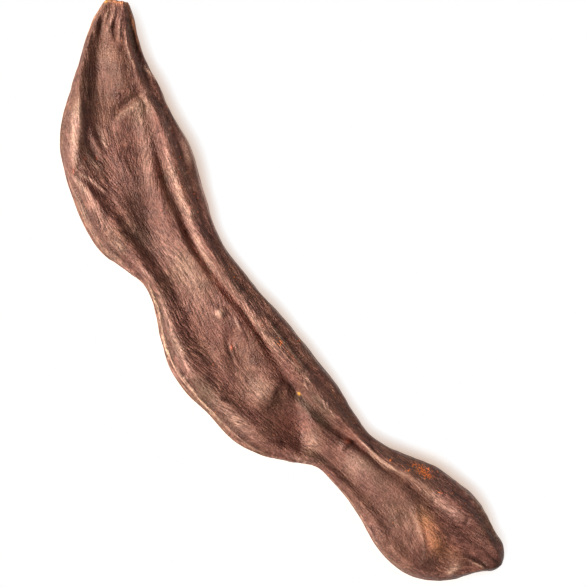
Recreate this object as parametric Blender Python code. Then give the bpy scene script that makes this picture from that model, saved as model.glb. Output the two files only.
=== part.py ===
"""A dried carob pod lying on its side: one grown piece, flat and wavy, with thick margins and a sunken face.

The pod is a sphere's grid of points carried onto a loft. Each ring of the grid becomes one cross-section,
square to the pod's bent midline. A cross-section has a rounded margin at both edges, and rails between them,
which are the crests and valleys that run the pod's length. Folds and swells are added to its two faces by
formula.

Lengths are in millimetres until the last step. "Along" is the distance from the stalk scar down the midline,
and "across" is the distance from the midline, positive towards the outer margin. X runs from the stalk scar
to the beak, Z is up, and the origin is on the resting plane, under the middle of the pod's box.
"""

import math
from collections import namedtuple

import bmesh
import bpy
import numpy as np

MM = 0.001
POD_LENGTH = 151.8  # along the bent midline

# The grid: each face has columns round its two margins and evenly over the middle.
MARGIN_COLUMNS = 5
FACE_COLUMNS = 18
COLUMNS = 2 * (2 * MARGIN_COLUMNS + FACE_COLUMNS)
BODY_ROWS = 99
BEAK_ROWS = 5

# The midline seen from above, from the stalk scar to the beak.
MIDLINE = (
    (-71.2, 16.2), (-69.2, 14.2), (-64.0, 10.0), (-55.0, 4.3), (-45.7, 0.1), (-35.9, -2.8), (-26.0, -3.7),
    (-15.0, -3.7), (-5.0, -5.1), (5.0, -5.5), (14.9, -4.2), (24.1, -1.3), (34.0, 1.7), (43.9, 4.4),
    (54.1, 6.7), (62.0, 10.0), (71.6, 15.2),
)
HEADING_STEP = 0.05  # how far to either side the midline is read for its heading

# Along, then how far the outer and the inner margin stand from the midline.
OUTLINE = (
    (0, 2.5, 2.5), (3, 3.9, 4.0), (8, 5.5, 5.7), (13, 7.1, 7.1), (18, 9.4, 9.2), (23, 10.6, 11.5),
    (28, 11.9, 13.3), (33, 13.2, 13.4), (38, 13.5, 13.4), (43, 13.0, 13.7), (48, 11.9, 13.1),
    (53, 10.6, 10.7), (57, 9.5, 9.7), (61, 9.0, 10.0), (66, 10.1, 10.9), (71, 11.1, 12.4), (76, 12.1, 13.7),
    (80, 12.6, 13.6), (86, 12.7, 12.7), (93, 12.0, 12.9), (98, 11.0, 11.4), (103, 9.4, 9.1),
    (108, 7.4, 6.5), (113, 6.0, 6.6), (118, 6.6, 7.5), (123, 8.4, 8.7), (127, 10.1, 9.8),
    (131, 10.5, 11.1), (136, 10.4, 11.6), (140, 9.8, 10.4), (144, 8.1, 7.6), (148, 5.1, 3.8),
    (151.8, 2.6, 2.0),
)

# Along, full thickness, the mid-plane's height over the table, and its rise for each millimetre across.
LIE = (
    (0, 3.6, 4.7, 0.02), (4, 4.6, 4.6, 0.02), (10, 5.8, 4.5, 0), (18, 7.2, 4.35, -0.03),
    (26, 8.2, 4.35, -0.045), (34, 8.8, 4.4, -0.045), (42, 8.7, 4.55, -0.03), (50, 8.1, 4.75, 0),
    (60, 7.4, 4.8, 0.03), (70, 8.2, 4.5, 0.045), (78, 8.8, 4.4, 0.05), (86, 8.9, 4.5, 0.045),
    (94, 8.4, 4.75, 0.03), (104, 7.0, 5.0, 0), (113, 6.4, 4.9, -0.03), (122, 7.4, 4.55, -0.05),
    (131, 8.6, 4.35, -0.05), (139, 8.2, 4.45, -0.03), (147, 6.0, 4.7, 0), (151.8, 4.4, 4.9, 0),
)

# The rails of the upper face, from the outer margin to the inner one: along, across, depth below the crests.
OUTER_CREST = (
    (0, 1.3, 0), (5, 2.8, 0), (10, 3.5, 0), (14, 5.0, 0), (18, 5.8, 0), (21, 6.6, 0), (24, 8.0, 0),
    (30, 8.9, 0), (36, 8.9, 0), (42, 8.6, 0), (48, 7.9, 0), (54, 6.7, 0), (60, 6.1, 0), (66, 6.6, 0),
    (72, 7.5, 0), (80, 8.0, 0), (88, 7.7, 0), (95, 6.8, 0), (102, 5.6, 0), (109, 4.4, 0), (115, 3.9, 0),
    (121, 4.8, 0), (128, 6.2, 0), (134, 6.9, 0), (140, 6.3, 0), (145, 4.4, 0), (149, 2.0, 0),
    (151.8, 0.6, 0),
)
GROOVE = (
    (0, 0.9, 0), (5, 2.2, 0.1), (10, 2.9, 0.15), (16, 4.6, 0.2), (20, 5.3, 0.4), (24, 6.4, 0.9),
    (30, 6.6, 1.3), (36, 6.5, 1.6), (42, 6.3, 1.7), (48, 5.7, 1.7), (54, 4.6, 1.6), (60, 3.9, 1.5),
    (66, 4.7, 1.5), (72, 6.0, 1.5), (80, 6.5, 1.5), (86, 5.9, 1.6), (95, 4.1, 1.7), (102, 3.3, 1.7),
    (109, 2.8, 1.5), (115, 2.9, 1.2), (121, 3.4, 1.2), (127, 4.2, 1.3), (134, 3.6, 1.2), (140, 2.8, 0.9),
    (146, 1.4, 0.4), (151.8, 0.4, 0),
)
BROW = (
    (0, 0.5, 0), (5, 1.4, 0.1), (10, 1.8, 0.1), (16, 2.8, 0.1), (22, 4.1, 0.3), (28, 4.9, 0.7),
    (34, 4.9, 0.8), (40, 4.8, 0.9), (46, 4.1, 0.9), (52, 3.2, 0.8), (58, 2.3, 0.8), (64, 2.6, 0.8),
    (70, 4.2, 0.8), (76, 4.9, 0.8), (82, 4.6, 0.8), (87, 3.5, 0.8), (94, 2.2, 0.7), (100, 1.2, 0.6),
    (106, 0.8, 0.6), (112, 1.2, 0.6), (118, 1.2, 0.6), (124, 1.6, 0.7), (130, 2.2, 0.8), (136, 1.8, 0.7),
    (142, 1.0, 0.5), (147, 0.5, 0.2), (151.8, 0.2, 0),
)
VALLEY = (
    (0, -0.6, 0), (5, -1.7, 0.5), (10, -2.4, 1.1), (16, -2.9, 1.7), (22, -3.3, 1.9), (28, -3.8, 1.8),
    (34, -4.5, 1.7), (40, -5.0, 1.7), (46, -4.9, 1.8), (52, -4.3, 1.8), (58, -4.0, 1.8), (64, -4.1, 1.8),
    (70, -4.1, 1.8), (76, -3.9, 1.8), (82, -4.3, 1.8), (88, -4.5, 1.7), (94, -4.1, 1.6), (100, -3.8, 1.5),
    (106, -3.7, 1.2), (110, -3.6, 0.9), (115, -3.8, 0.8), (120, -4.2, 0.7), (125, -4.9, 0.6),
    (130, -6.0, 0.6), (136, -6.2, 0.7), (142, -4.4, 0.6), (148, -2.0, 0.3), (151.8, -0.3, 0),
)
INNER_CREST = (
    (0, -1.3, 0), (5, -3.4, 0), (10, -5.0, 0), (16, -6.5, 0.1), (22, -7.6, 0.2), (28, -8.7, 0.3),
    (33, -10.3, 0.5), (37, -9.2, 0.4), (42, -8.0, 0.35), (48, -7.2, 0.3), (54, -7.0, 0.2),
    (60, -7.4, 0.2), (66, -8.0, 0.3), (72, -8.8, 0.35), (79, -9.4, 0.4), (85, -8.3, 0.4), (91, -7.6, 0.4),
    (97, -8.2, 0.5), (103, -6.9, 0.4), (109, -5.1, 0.2), (115, -5.3, 0.2), (121, -6.0, 0.2),
    (127, -7.1, 0.2), (133, -8.6, 0.2), (139, -8.0, 0.2), (145, -5.2, 0.1), (149, -2.2, 0),
    (151.8, -0.7, 0),
)
CREST_SLOPE = 0.42  # the share of a straight fall in the margins, past the crests
UPPER_RAILS = (OUTER_CREST, GROOVE, BROW, VALLEY, INNER_CREST)

# The underside is plainer. Its rails are shares of the half-width, each with its depth at the widest place.
UNDER_RAILS = ((0.68, 0), (0.28, 1.1), (0.04, 0.8), (-0.3, 1.1), (-0.7, 0))
WIDEST = 13.0

FOLD_STEPS = 12  # how finely a fold's path is followed, for each of its points
FOLD_FADE = 0.35  # the share of its path over which a fold fades at either end

# A fold is a line of (along, across) points, raised or, where its height is negative, sunken. It has one
# half-width on its path's left and another on its right. A swell is a raised or sunken oval.
Fold = namedtuple("Fold", "path height left right")
Swell = namedtuple("Swell", "along across half_length half_width turn height")

UPPER_FOLDS = (
    Fold(((19.4, 7.6), (21, 5), (22.6, 2.2), (24.8, -2.2)), -1.3, 1.0, 2.3),
    Fold(((20.8, 7.0), (22.6, 4.2), (24.4, 1.2), (26.4, -2.0)), 0.5, 1.8, 0.8),
    Fold(((32.4, -8.8), (33, -10.6), (33.2, -13)), -0.5, 0.8, 0.8),
    Fold(((34, -9.4), (38, -7.6), (44, -6.6)), -0.4, 1.0, 1.0),
    Fold(((26.5, -8.2), (30, -7.2), (33.5, -5.4)), -0.45, 1.1, 1.3),
    Fold(((24, -5), (28, -5), (33, -3.4)), 0.5, 1.0, 1.0),
    Fold(((28, -2.2), (34, -1.2), (40, 0.8)), 0.4, 1.0, 1.8),
    Fold(((37, -4.4), (44, -4.4), (52, -3.4)), 0.5, 1.6, 1.2),
    Fold(((36, -11.6), (43, -11), (50, -10), (56, -8.4)), 0.3, 0.8, 0.8),
    Fold(((73.5, 1.8), (78, 1.1), (82, 0.2), (85.5, -1.2)), -0.6, 1.8, 1.2),
    Fold(((72.5, 3.9), (77, 3.7), (81, 2.9)), 0.3, 0.9, 0.9),
    Fold(((75, -2.6), (80, -3.2), (85, -4.4)), 0.35, 1.1, 1.2),
    Fold(((90.2, 4), (91.2, 0.4), (93.6, -4.6)), 1.0, 1.3, 3.4),
    Fold(((92.4, 4.2), (96.4, 1.8), (99.8, -1.2), (102.6, -4.6), (103.6, -8)), -1.9, 1.8, 4.6),
    Fold(((127.5, 2.8), (131.6, -0.6), (135.4, -4.6), (136.6, -9.2)), 0.6, 0.7, 1.8),
    Fold(((143, -1), (146, -1.4), (149.8, -1.6)), -0.3, 0.8, 0.8),
    Fold(((2, 1.6), (6, 1.6), (10, 2.4)), 0.35, 0.9, 0.8),
    Fold(((2, -1), (5, -1.1), (8, -1.3)), 0.4, 0.8, 0.8),
    Fold(((4, 4.2), (8, 4.6), (13, 5.6)), -0.4, 0.8, 0.8),
)
UPPER_SWELLS = (
    Swell(13.5, 0.8, 5.5, 3.6, 0, 0.9),
    Swell(30.5, 2.4, 4.6, 2.3, -8, -0.9),
    Swell(46, -0.6, 6, 2.8, -16, -1.15),
    Swell(61, -0.4, 8, 2.4, 0, 0.3),
    Swell(106.5, -1.8, 4, 1.8, 10, 0.3),
    Swell(114.5, -0.4, 3.6, 2, 0, 0.4),
    Swell(135.2, -1.4, 4, 2.1, -28, 1.1),
    Swell(140.4, -5, 2.2, 4.6, 12, -0.8),
    Swell(143, 3.6, 4, 3.2, -20, -0.7),
    Swell(71.2, 1.8, 1.1, 1.1, 0, 0.5),
    Swell(110.2, 1.2, 0.9, 1.3, 0, 0.5),
)

# The seeds show faintly from below: along, across.
SEEDS_BELOW = (
    (29, 0.8), (39, -0.9), (49, 0.4), (67, 0.7), (77, -0.6), (87, 0.9), (97, -0.4), (133, 0.3),
)
SEED_HALF_LENGTH = 4.2
SEED_HALF_WIDTH = 3.2
SEED_SWELL = 0.45
SEED_TURN = 20

UNDER_FOLDS = (
    Fold(((16, 5.5), (22, 1), (27, -4)), -0.4, 1.8, 1.8),
    Fold(((54, 5), (59, 0.5), (61, -5)), -0.35, 2.0, 2.0),
    Fold(((103, 4.5), (108, 0), (112, -3)), -0.35, 1.8, 1.8),
    Fold(((141, 5), (144, 0.5), (143, -4.5)), -0.3, 1.4, 1.4),
)

# The scar's dish: each ring's depth, and its scale.
SCAR_RINGS = ((0.35, 0.0), (0.25, 0.46), (0.0, 0.94))
SCAR_CHAMFER = 0.3  # the length of the scar's bevelled edge
BEAK_LENGTH = 1.9  # the length over which the beak closes
SEAM_DEPTH = 0.3  # the suture, a seam sunk in both margins

HUSK_COLOUR = (0.13, 0.055, 0.038, 1.0)
HUSK_ROUGHNESS = 0.42


def through(points, at, column=1):
    """Values at `at` on a smooth curve through the points, read from one of their columns."""
    table = np.array(points, float)
    place, value = table[:, 0], table[:, column]
    slope = np.gradient(value, place)
    left = np.clip(np.searchsorted(place, at) - 1, 0, len(place) - 2)
    span = place[left + 1] - place[left]
    u = np.clip((at - place[left]) / span, 0.0, 1.0)
    leaving = (1 + 2 * u) * (1 - u) ** 2 * value[left] + u * (1 - u) ** 2 * span * slope[left]
    arriving = u * u * (3 - 2 * u) * value[left + 1] + u * u * (u - 1) * span * slope[left + 1]
    return leaving + arriving


def ease(u):
    """0 to 1 with no slope at either end."""
    u = np.clip(u, 0.0, 1.0)
    return u * u * (3 - 2 * u)


def midline_at(along):
    """The midline's points and its unit normals, which point to the outer margin."""
    corners = np.array(MIDLINE)
    reach = np.concatenate([[0], np.cumsum(np.hypot(*np.diff(corners, axis=0).T))])
    stations = np.column_stack([reach, corners])

    def point(place):
        return np.column_stack([through(stations, place, 1), through(stations, place, 2)])

    stride = point(along + HEADING_STEP) - point(along - HEADING_STEP)
    heading = stride / np.linalg.norm(stride, axis=1)[:, None]
    return point(along), np.column_stack([-heading[:, 1], heading[:, 0]])


def face_columns(outer, inner, outer_crest, inner_crest, slope):
    """Across, and the share of the full height, for a face's columns from the outer margin to the inner one.

    With no slope a margin is a quarter ellipse, flat at its crest. Slope is the share of a straight fall from
    the crest in it, which makes the crest a ridge.
    """
    turn = np.linspace(0, math.pi / 2, MARGIN_COLUMNS + 1)
    climb = (1 - slope) * np.sin(turn) + slope * (1 - np.cos(turn))
    middle = np.linspace(outer_crest, inner_crest, FACE_COLUMNS + 1)[1:-1]
    leaving = outer - (outer - outer_crest) * (1 - np.cos(turn))
    arriving = -inner + (inner + inner_crest) * (1 - np.cos(turn[::-1]))
    across = np.concatenate([leaving, middle, arriving])
    rise = np.concatenate([climb, np.ones(len(middle)), climb[::-1]])
    return across, rise


def depth_between(across, places, depths):
    """How far a face lies below its crests: it eases from rail to rail, and holds beyond the last ones."""
    depth = np.where(across > places[0], depths[0], depths[-1])
    for outer, inner, start, end in zip(places, places[1:], depths, depths[1:]):
        inside = (across <= outer) & (across >= inner)
        depth[inside] = start + (end - start) * ease((outer - across[inside]) / (outer - inner))
    return depth


def fold_relief(fold, along, across):
    """A fold's height at the given points: full along its path's middle, and nothing at its two ends."""
    corners = np.array(fold.path, float)
    numbered = np.column_stack([np.linspace(0, 1, len(corners)), corners])
    share = np.linspace(0, 1, FOLD_STEPS * len(corners))
    line = np.column_stack([through(numbered, share, 1), through(numbered, share, 2)])
    heading = np.gradient(line, axis=0)
    offset_along = np.full_like(across, along) - line[:, :1]
    offset_across = across - line[:, 1:]
    distance = np.hypot(offset_along, offset_across)
    nearest = distance.argmin(axis=0)
    pick = nearest, np.arange(len(across))
    side = heading[nearest, 0] * offset_across[pick] - heading[nearest, 1] * offset_along[pick]
    bell = np.exp(-((distance[pick] / np.where(side > 0, fold.left, fold.right)) ** 2))
    return fold.height * bell * ease(np.minimum(share, 1 - share)[nearest] / FOLD_FADE)


def swell_relief(swell, along, across):
    """A swell's height at the given points."""
    turn = math.radians(swell.turn)
    lengthways = (along - swell.along) * math.cos(turn) + (across - swell.across) * math.sin(turn)
    sideways = (across - swell.across) * math.cos(turn) - (along - swell.along) * math.sin(turn)
    squared = (lengthways / swell.half_length) ** 2 + (sideways / swell.half_width) ** 2
    return swell.height * np.exp(-squared)


def relief(folds, swells, along, across):
    """The height of all the folds and swells of a face, at one place along and several across."""
    height = sum(fold_relief(fold, along, across) for fold in folds)
    return height + sum(swell_relief(swell, along, across) for swell in swells)


def upper_face(along, outer, inner, half):
    """The upper face's columns: across, and height over the mid-plane."""
    places = [float(through(rail, along, 1)) for rail in UPPER_RAILS]
    depths = [float(through(rail, along, 2)) for rail in UPPER_RAILS]
    across, rise = face_columns(outer, inner, places[0], places[-1], CREST_SLOPE)
    body = half - depth_between(across, places, depths) + relief(UPPER_FOLDS, UPPER_SWELLS, along, across)
    return across, rise * body


def under_face(along, outer, inner, half):
    """The underside's columns: across, and depth under the mid-plane."""
    places = [share * (outer if share > 0 else inner) for share, _ in UNDER_RAILS]
    fullness = min(1.0, (outer + inner) / 2 / WIDEST) ** 2
    depths = [depth * fullness for _, depth in UNDER_RAILS]
    across, rise = face_columns(outer, inner, places[0], places[-1], 0)
    oval = (SEED_HALF_LENGTH, SEED_HALF_WIDTH, SEED_TURN, SEED_SWELL)
    seeds = [Swell(*seed, *oval) for seed in SEEDS_BELOW]
    body = half - depth_between(across, places, depths) + relief(UNDER_FOLDS, seeds, along, across)
    return across, rise * body


def section(along, thickness, mid, roll):
    """One cross-section: across and height for each column, over the upper face and back underneath."""
    outer, inner = through(OUTLINE, along, 1), through(OUTLINE, along, 2)
    across, above = upper_face(along, outer, inner, thickness / 2)
    under_across, below = under_face(along, outer, inner, thickness / 2)
    upper = mid + roll * across + above
    under = mid + roll * under_across - below
    across[0] -= SEAM_DEPTH
    across[-1] += SEAM_DEPTH
    inside = slice(-2, 0, -1)
    return np.concatenate([across, under_across[inside]]), np.concatenate([upper, under[inside]])


def row_plan():
    """Each row's place along the pod and its scale: the scar's dish, the body, then the closing beak."""
    rows = list(SCAR_RINGS)
    body_end = POD_LENGTH - BEAK_LENGTH
    rows += [(along, 1.0) for along in np.linspace(SCAR_CHAMFER, body_end, BODY_ROWS)]
    for turn in np.linspace(0, math.pi / 2, BEAK_ROWS + 1)[1:]:
        rows.append((body_end + BEAK_LENGTH * math.sin(turn), math.cos(turn)))
    return rows


def pod_points():
    """Every point of the pod, as rows of columns, in millimetres, on the table under its box's middle."""
    plan = row_plan()
    along = np.array([row[0] for row in plan])
    lies = np.column_stack([through(LIE, along, column) for column in (1, 2, 3)])
    centres, normals = midline_at(along)
    points = np.empty((len(plan), COLUMNS, 3))
    for row, (place, scale) in enumerate(plan):
        thickness, mid, roll = lies[row]
        across, height = section(place, thickness, mid, roll)
        points[row, :, :2] = centres[row] + scale * across[:, None] * normals[row]
        points[row, :, 2] = mid + scale * (height - mid)
    points[..., 2] = np.maximum(points[..., 2], 0)
    box_middle = (points.min(axis=(0, 1)) + points.max(axis=(0, 1))) / 2
    points[..., :2] -= box_middle[:2]
    return points


def husk_material():
    """The husk: dark red-brown, with a satin gloss."""
    material = bpy.data.materials.new("carob_husk")
    material.use_nodes = True
    shader = material.node_tree.nodes["Principled BSDF"]
    shader.inputs["Base Color"].default_value = HUSK_COLOUR
    shader.inputs["Roughness"].default_value = HUSK_ROUGHNESS
    shader.inputs["Metallic"].default_value = 0.0
    material.diffuse_color = HUSK_COLOUR
    return material


def make_pod(collection):
    """The pod's mesh: a sphere whose rings are carried onto the rows, and its meridians onto the columns."""
    points = pod_points() * MM
    last_row = len(points) - 1
    shape = bmesh.new()
    bmesh.ops.create_uvsphere(shape, u_segments=COLUMNS, v_segments=last_row, radius=1.0)
    for vertex in shape.verts:
        place = vertex.co.normalized()
        row = round(math.acos(max(-1.0, min(1.0, place.z))) / math.pi * last_row)
        column = round(math.atan2(place.y, place.x) / (2 * math.pi) * COLUMNS) % COLUMNS
        vertex.co = points[row, column]
    bmesh.ops.triangulate(shape, faces=shape.faces)
    bmesh.ops.recalc_face_normals(shape, faces=shape.faces)
    mesh = bpy.data.meshes.new("carob_pod")
    shape.to_mesh(mesh)
    shape.free()
    mesh.shade_smooth()
    pod = bpy.data.objects.new("carob_pod", mesh)
    pod.data.materials.append(husk_material())
    collection.objects.link(pod)
    return pod


def main():
    for old in list(bpy.data.objects):
        bpy.data.objects.remove(old, do_unlink=True)
    collection = bpy.data.collections.new("carob_pod")
    bpy.context.scene.collection.children.link(collection)
    make_pod(collection)


main()
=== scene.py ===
"""The look of a dried carob pod that lies on a pale, softly lit floor.

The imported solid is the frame. The pod's skin here is the same form on a finer grid, with the thin wrinkles,
cords and pits that the solid leaves out, and with the husk's colours and grain.

Lengths are in millimetres until a mesh is made. "Along" is the distance from the stalk scar down the pod's bent
midline, and "across" is the distance from the midline, positive towards the outer margin.
"""
import logging
import math
from collections.abc import Sequence
from dataclasses import dataclass, field
from enum import Enum

import bpy
import numpy as np
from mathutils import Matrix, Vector, noise


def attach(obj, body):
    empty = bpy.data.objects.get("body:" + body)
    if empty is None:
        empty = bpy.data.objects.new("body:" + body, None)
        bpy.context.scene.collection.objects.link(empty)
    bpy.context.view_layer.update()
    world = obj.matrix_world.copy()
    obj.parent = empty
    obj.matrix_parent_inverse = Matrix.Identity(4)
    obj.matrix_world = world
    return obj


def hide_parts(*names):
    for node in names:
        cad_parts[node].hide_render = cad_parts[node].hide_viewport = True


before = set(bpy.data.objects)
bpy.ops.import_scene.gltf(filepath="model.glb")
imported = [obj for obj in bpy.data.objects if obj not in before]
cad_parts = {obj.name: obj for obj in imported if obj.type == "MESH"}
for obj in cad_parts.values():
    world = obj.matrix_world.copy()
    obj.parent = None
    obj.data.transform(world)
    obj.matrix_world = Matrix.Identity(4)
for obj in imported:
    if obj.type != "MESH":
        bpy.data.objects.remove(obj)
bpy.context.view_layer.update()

log = logging.getLogger("carob_pod")

MM = 0.001

Row = tuple[float, ...]
Path = tuple[float, ...]
Ramp = tuple[float, ...]  # two limits, then what they turn into, if that isn't 0 and 1


class Tint(Enum):
    """Where the husk's colour departs from its own brown, and where painted highlights and painted shade stand
    for light and shade. Each is a named share on the mesh's points.
    """

    TAN = "tan"
    AMBER = "amber"
    OLIVE = "olive"
    # painted shade in creases, dents, grooves, pits and on slopes away from the key light; a few dark marks are
    # the skin's own
    DARK_AND_SHADE = "soot"
    # painted highlights on ridges, crests and slopes towards the key light, a painted rim light on the outer
    # margin, and a few pale specks of the skin's own
    BLOOM = "bloom"
    # pale seams and rims of the skin's own, with painted highlights on them
    CREAM_AND_HIGHLIGHT = "cream"
    RUST = "rust"
    SAP = "sap"
    LENTICEL = "lenticel"


def through(points: Sequence[Row], at: np.ndarray, column: int = 1) -> np.ndarray:
    """Reads a smooth curve through a table's points.

    Args:
        points: Rows that start with a place and go on with the values there.
        at: The places to read.
        column: Which value to read.

    Returns:
        One value for each place.
    """
    table = np.array(points, float)
    place, value = table[:, 0], table[:, column]
    slope = np.gradient(value, place)
    left = np.clip(np.searchsorted(place, at) - 1, 0, len(place) - 2)
    span = place[left + 1] - place[left]
    u = np.clip((at - place[left]) / span, 0.0, 1.0)
    leaving = (1 + 2 * u) * (1 - u) ** 2 * value[left] + u * (1 - u) ** 2 * span * slope[left]
    arriving = u * u * (3 - 2 * u) * value[left + 1] + u * u * (u - 1) * span * slope[left + 1]
    return leaving + arriving


def ease(u: np.ndarray) -> np.ndarray:
    """Returns 0 to 1 with no slope at either end."""
    u = np.clip(u, 0.0, 1.0)
    return u * u * (3 - 2 * u)


@dataclass(frozen=True)
class Fold:
    """A raised or, where its height is negative, sunken line in a face.

    Attributes:
        path: Places along and across, in turn, that the line runs through.
        height: The height over the face, or the strength where the line is a colour.
        left: The half-width on the path's left.
        right: The half-width on its right, if it differs.
    """

    path: Path
    height: float
    left: float
    right: float | None = None

    steps = 12
    fade = 0.35
    reach = 2.6

    def relief(self, along: np.ndarray, across: np.ndarray) -> np.ndarray:
        """Gives the line's height at points of a face.

        Args:
            along: Each point's place along.
            across: Each point's place across.

        Returns:
            The heights, in the shape of `along`.
        """
        left, right = self.left, self.left if self.right is None else self.right
        corners = np.array(self.path, float).reshape(-1, 2)
        numbered = np.column_stack([np.linspace(0, 1, len(corners)), corners])
        share = np.linspace(0, 1, self.steps * len(corners))
        line = np.column_stack([through(numbered, share, 1), through(numbered, share, 2)])
        heading = np.gradient(line, axis=0)
        margin = self.reach * max(left, right)
        low, high = line.min(axis=0) - margin, line.max(axis=0) + margin
        near = (along > low[0]) & (along < high[0]) & (across > low[1]) & (across < high[1])
        offset = np.stack([along[near], across[near]], axis=1)[:, None] - line[None]
        distance = np.hypot(offset[..., 0], offset[..., 1])
        nearest = distance.argmin(axis=1)
        pick = np.arange(len(nearest)), nearest
        side = heading[nearest, 0] * offset[pick][:, 1] - heading[nearest, 1] * offset[pick][:, 0]
        bell = np.exp(-((distance[pick] / np.where(side > 0, left, right)) ** 2))
        height = np.zeros_like(along)
        height[near] = self.height * bell * ease(np.minimum(share, 1 - share)[nearest] / self.fade)
        return height


@dataclass(frozen=True)
class Swell:
    """A raised or sunken oval in a face, or an oval of colour.

    Attributes:
        along: Its middle's place along.
        across: Its middle's place across.
        half_length: Its half-length.
        half_width: Its half-width.
        height: The height at its middle, or the strength where it is a colour.
        turn: How far its length is turned from the pod's, in degrees.
    """

    along: float
    across: float
    half_length: float
    half_width: float
    height: float
    turn: float = 0

    def relief(self, along: np.ndarray, across: np.ndarray) -> np.ndarray:
        """Gives the oval's height at points of a face.

        Args:
            along: Each point's place along.
            across: Each point's place across.

        Returns:
            The heights, in the shape of `along`.
        """
        turn = math.radians(self.turn)
        lengthways = (along - self.along) * math.cos(turn) + (across - self.across) * math.sin(turn)
        sideways = (across - self.across) * math.cos(turn) - (along - self.along) * math.sin(turn)
        reach = (lengthways / self.half_length) ** 2 + (sideways / self.half_width) ** 2
        return self.height * np.exp(-reach)


Form = Fold | Swell


def beside(path: Path, by: float) -> Path:
    """Returns a path moved across, towards the outer margin where `by` is positive."""
    return tuple(value + by * (place % 2) for place, value in enumerate(path))


def relief(forms: Sequence[Form], along: np.ndarray, across: np.ndarray) -> np.ndarray:
    """Adds up the heights of several folds and swells at points of a face.

    Args:
        forms: The folds and swells.
        along: Each point's place along.
        across: Each point's place across.

    Returns:
        The heights, in the shape of `along`.
    """
    height = np.zeros_like(along)
    for form in forms:
        height += form.relief(along, across)
    return height


@dataclass(frozen=True)
class Cord:
    """A thin raised cord or, where its height is negative, a groove that runs down a margin.

    Attributes:
        turn: Its angle round the margin, in degrees: 0 at the seam and 90 at the crest.
        half_turn: Its half-width, in degrees round the margin.
        heights: Rows of place along and height.
    """

    turn: float
    half_turn: float
    heights: tuple[Row, ...]

    def relief(self, along: np.ndarray, turn: np.ndarray) -> np.ndarray:
        """Gives the cord's height at points round a margin."""
        return through(self.heights, along) * np.exp(-(((turn - self.turn) / self.half_turn) ** 2))


def along_margins(outer: Sequence[Cord], inner: Sequence[Cord], form: dict[str, np.ndarray]) -> np.ndarray:
    """Adds up the cords of both margins.

    Args:
        outer: The outer margin's cords.
        inner: The inner margin's cords.
        form: The skin's points, as `CarobPod.shape` gives them.

    Returns:
        The heights, in the shape of the points.
    """
    height = np.zeros_like(form["across"])
    for cords, on in ((outer, form["across"] > 0), (inner, form["across"] < 0)):
        for cord in cords:
            height += np.where(on, cord.relief(form["along"], form["turn"]), 0)
    return height


@dataclass
class Plan:
    """The pod as it lies, seen from above, and how it rises and rolls over the table."""

    length: float = 151.8
    heading_step: float = 0.05
    midline: tuple[Row, ...] = (
        (-71.2, 16.2), (-69.2, 14.2), (-64.0, 10.0), (-55.0, 4.3), (-45.7, 0.1), (-35.9, -2.8), (-26.0, -3.7),
        (-15.0, -3.7), (-5.0, -5.1), (5.0, -5.5), (14.9, -4.2), (24.1, -1.3), (34.0, 1.7), (43.9, 4.4),
        (54.1, 6.7), (62.0, 10.0), (71.6, 15.2),
    )
    # Along, then how far the outer and the inner margin stand from the midline.
    outline: tuple[Row, ...] = (
        (0, 2.5, 2.5), (3, 3.9, 4.0), (8, 5.5, 5.7), (13, 7.1, 7.1), (18, 9.4, 9.2), (23, 10.6, 11.5),
        (28, 11.9, 13.3), (33, 13.2, 13.4), (38, 13.5, 13.4), (43, 13.0, 13.7), (48, 11.9, 13.1),
        (53, 10.6, 10.7), (57, 9.5, 9.7), (61, 9.0, 10.0), (66, 10.1, 10.9), (71, 11.1, 12.4), (76, 12.1, 13.7),
        (80, 12.6, 13.6), (86, 12.7, 12.7), (93, 12.0, 12.9), (98, 11.0, 11.4), (103, 9.4, 9.1),
        (108, 7.4, 6.5), (113, 6.0, 6.6), (118, 6.6, 7.5), (123, 8.4, 8.7), (127, 10.1, 9.8),
        (131, 10.5, 11.1), (136, 10.4, 11.6), (140, 9.8, 10.4), (144, 8.1, 7.6), (148, 5.1, 3.8),
        (151.8, 2.6, 2.0),
    )
    # Along, full thickness, the mid-plane's height over the table, and its rise for each millimetre across.
    lie: tuple[Row, ...] = (
        (0, 3.6, 4.7, 0.02), (4, 4.6, 4.6, 0.02), (10, 5.8, 4.5, 0), (18, 7.2, 4.35, -0.03),
        (26, 8.2, 4.35, -0.045), (34, 8.8, 4.4, -0.045), (42, 8.7, 4.55, -0.03), (50, 8.1, 4.75, 0),
        (60, 7.4, 4.8, 0.03), (70, 8.2, 4.5, 0.045), (78, 8.8, 4.4, 0.05), (86, 8.9, 4.5, 0.045),
        (94, 8.4, 4.75, 0.03), (104, 7.0, 5.0, 0), (113, 6.4, 4.9, -0.03), (122, 7.4, 4.55, -0.05),
        (131, 8.6, 4.35, -0.05), (139, 8.2, 4.45, -0.03), (147, 6.0, 4.7, 0), (151.8, 4.4, 4.9, 0),
    )

    def midline_at(self, along: np.ndarray) -> tuple[np.ndarray, np.ndarray]:
        """Finds the midline's points and its unit normals, which point to the outer margin.

        Args:
            along: The places to find.

        Returns:
            The points and the normals, a row for each place.
        """
        corners = np.array(self.midline)
        reach = np.concatenate([[0], np.cumsum(np.hypot(*np.diff(corners, axis=0).T))])
        stations = np.column_stack([reach, corners])

        def point(place: np.ndarray) -> np.ndarray:
            """Returns the midline's point at each place."""
            return np.column_stack([through(stations, place, 1), through(stations, place, 2)])

        stride = point(along + self.heading_step) - point(along - self.heading_step)
        heading = stride / np.linalg.norm(stride, axis=1)[:, None]
        return point(along), np.column_stack([-heading[:, 1], heading[:, 0]])


@dataclass
class FaceGrid:
    """One face's points, as rows along of columns from the outer margin to the inner one.

    Attributes:
        across: Each point's place across.
        height: Its height off the mid-plane, outwards.
        turn: Its angle round the nearer margin, in degrees: 0 at the seam, 90 at the crest and over the middle.
    """

    across: np.ndarray
    height: np.ndarray
    turn: np.ndarray


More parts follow.
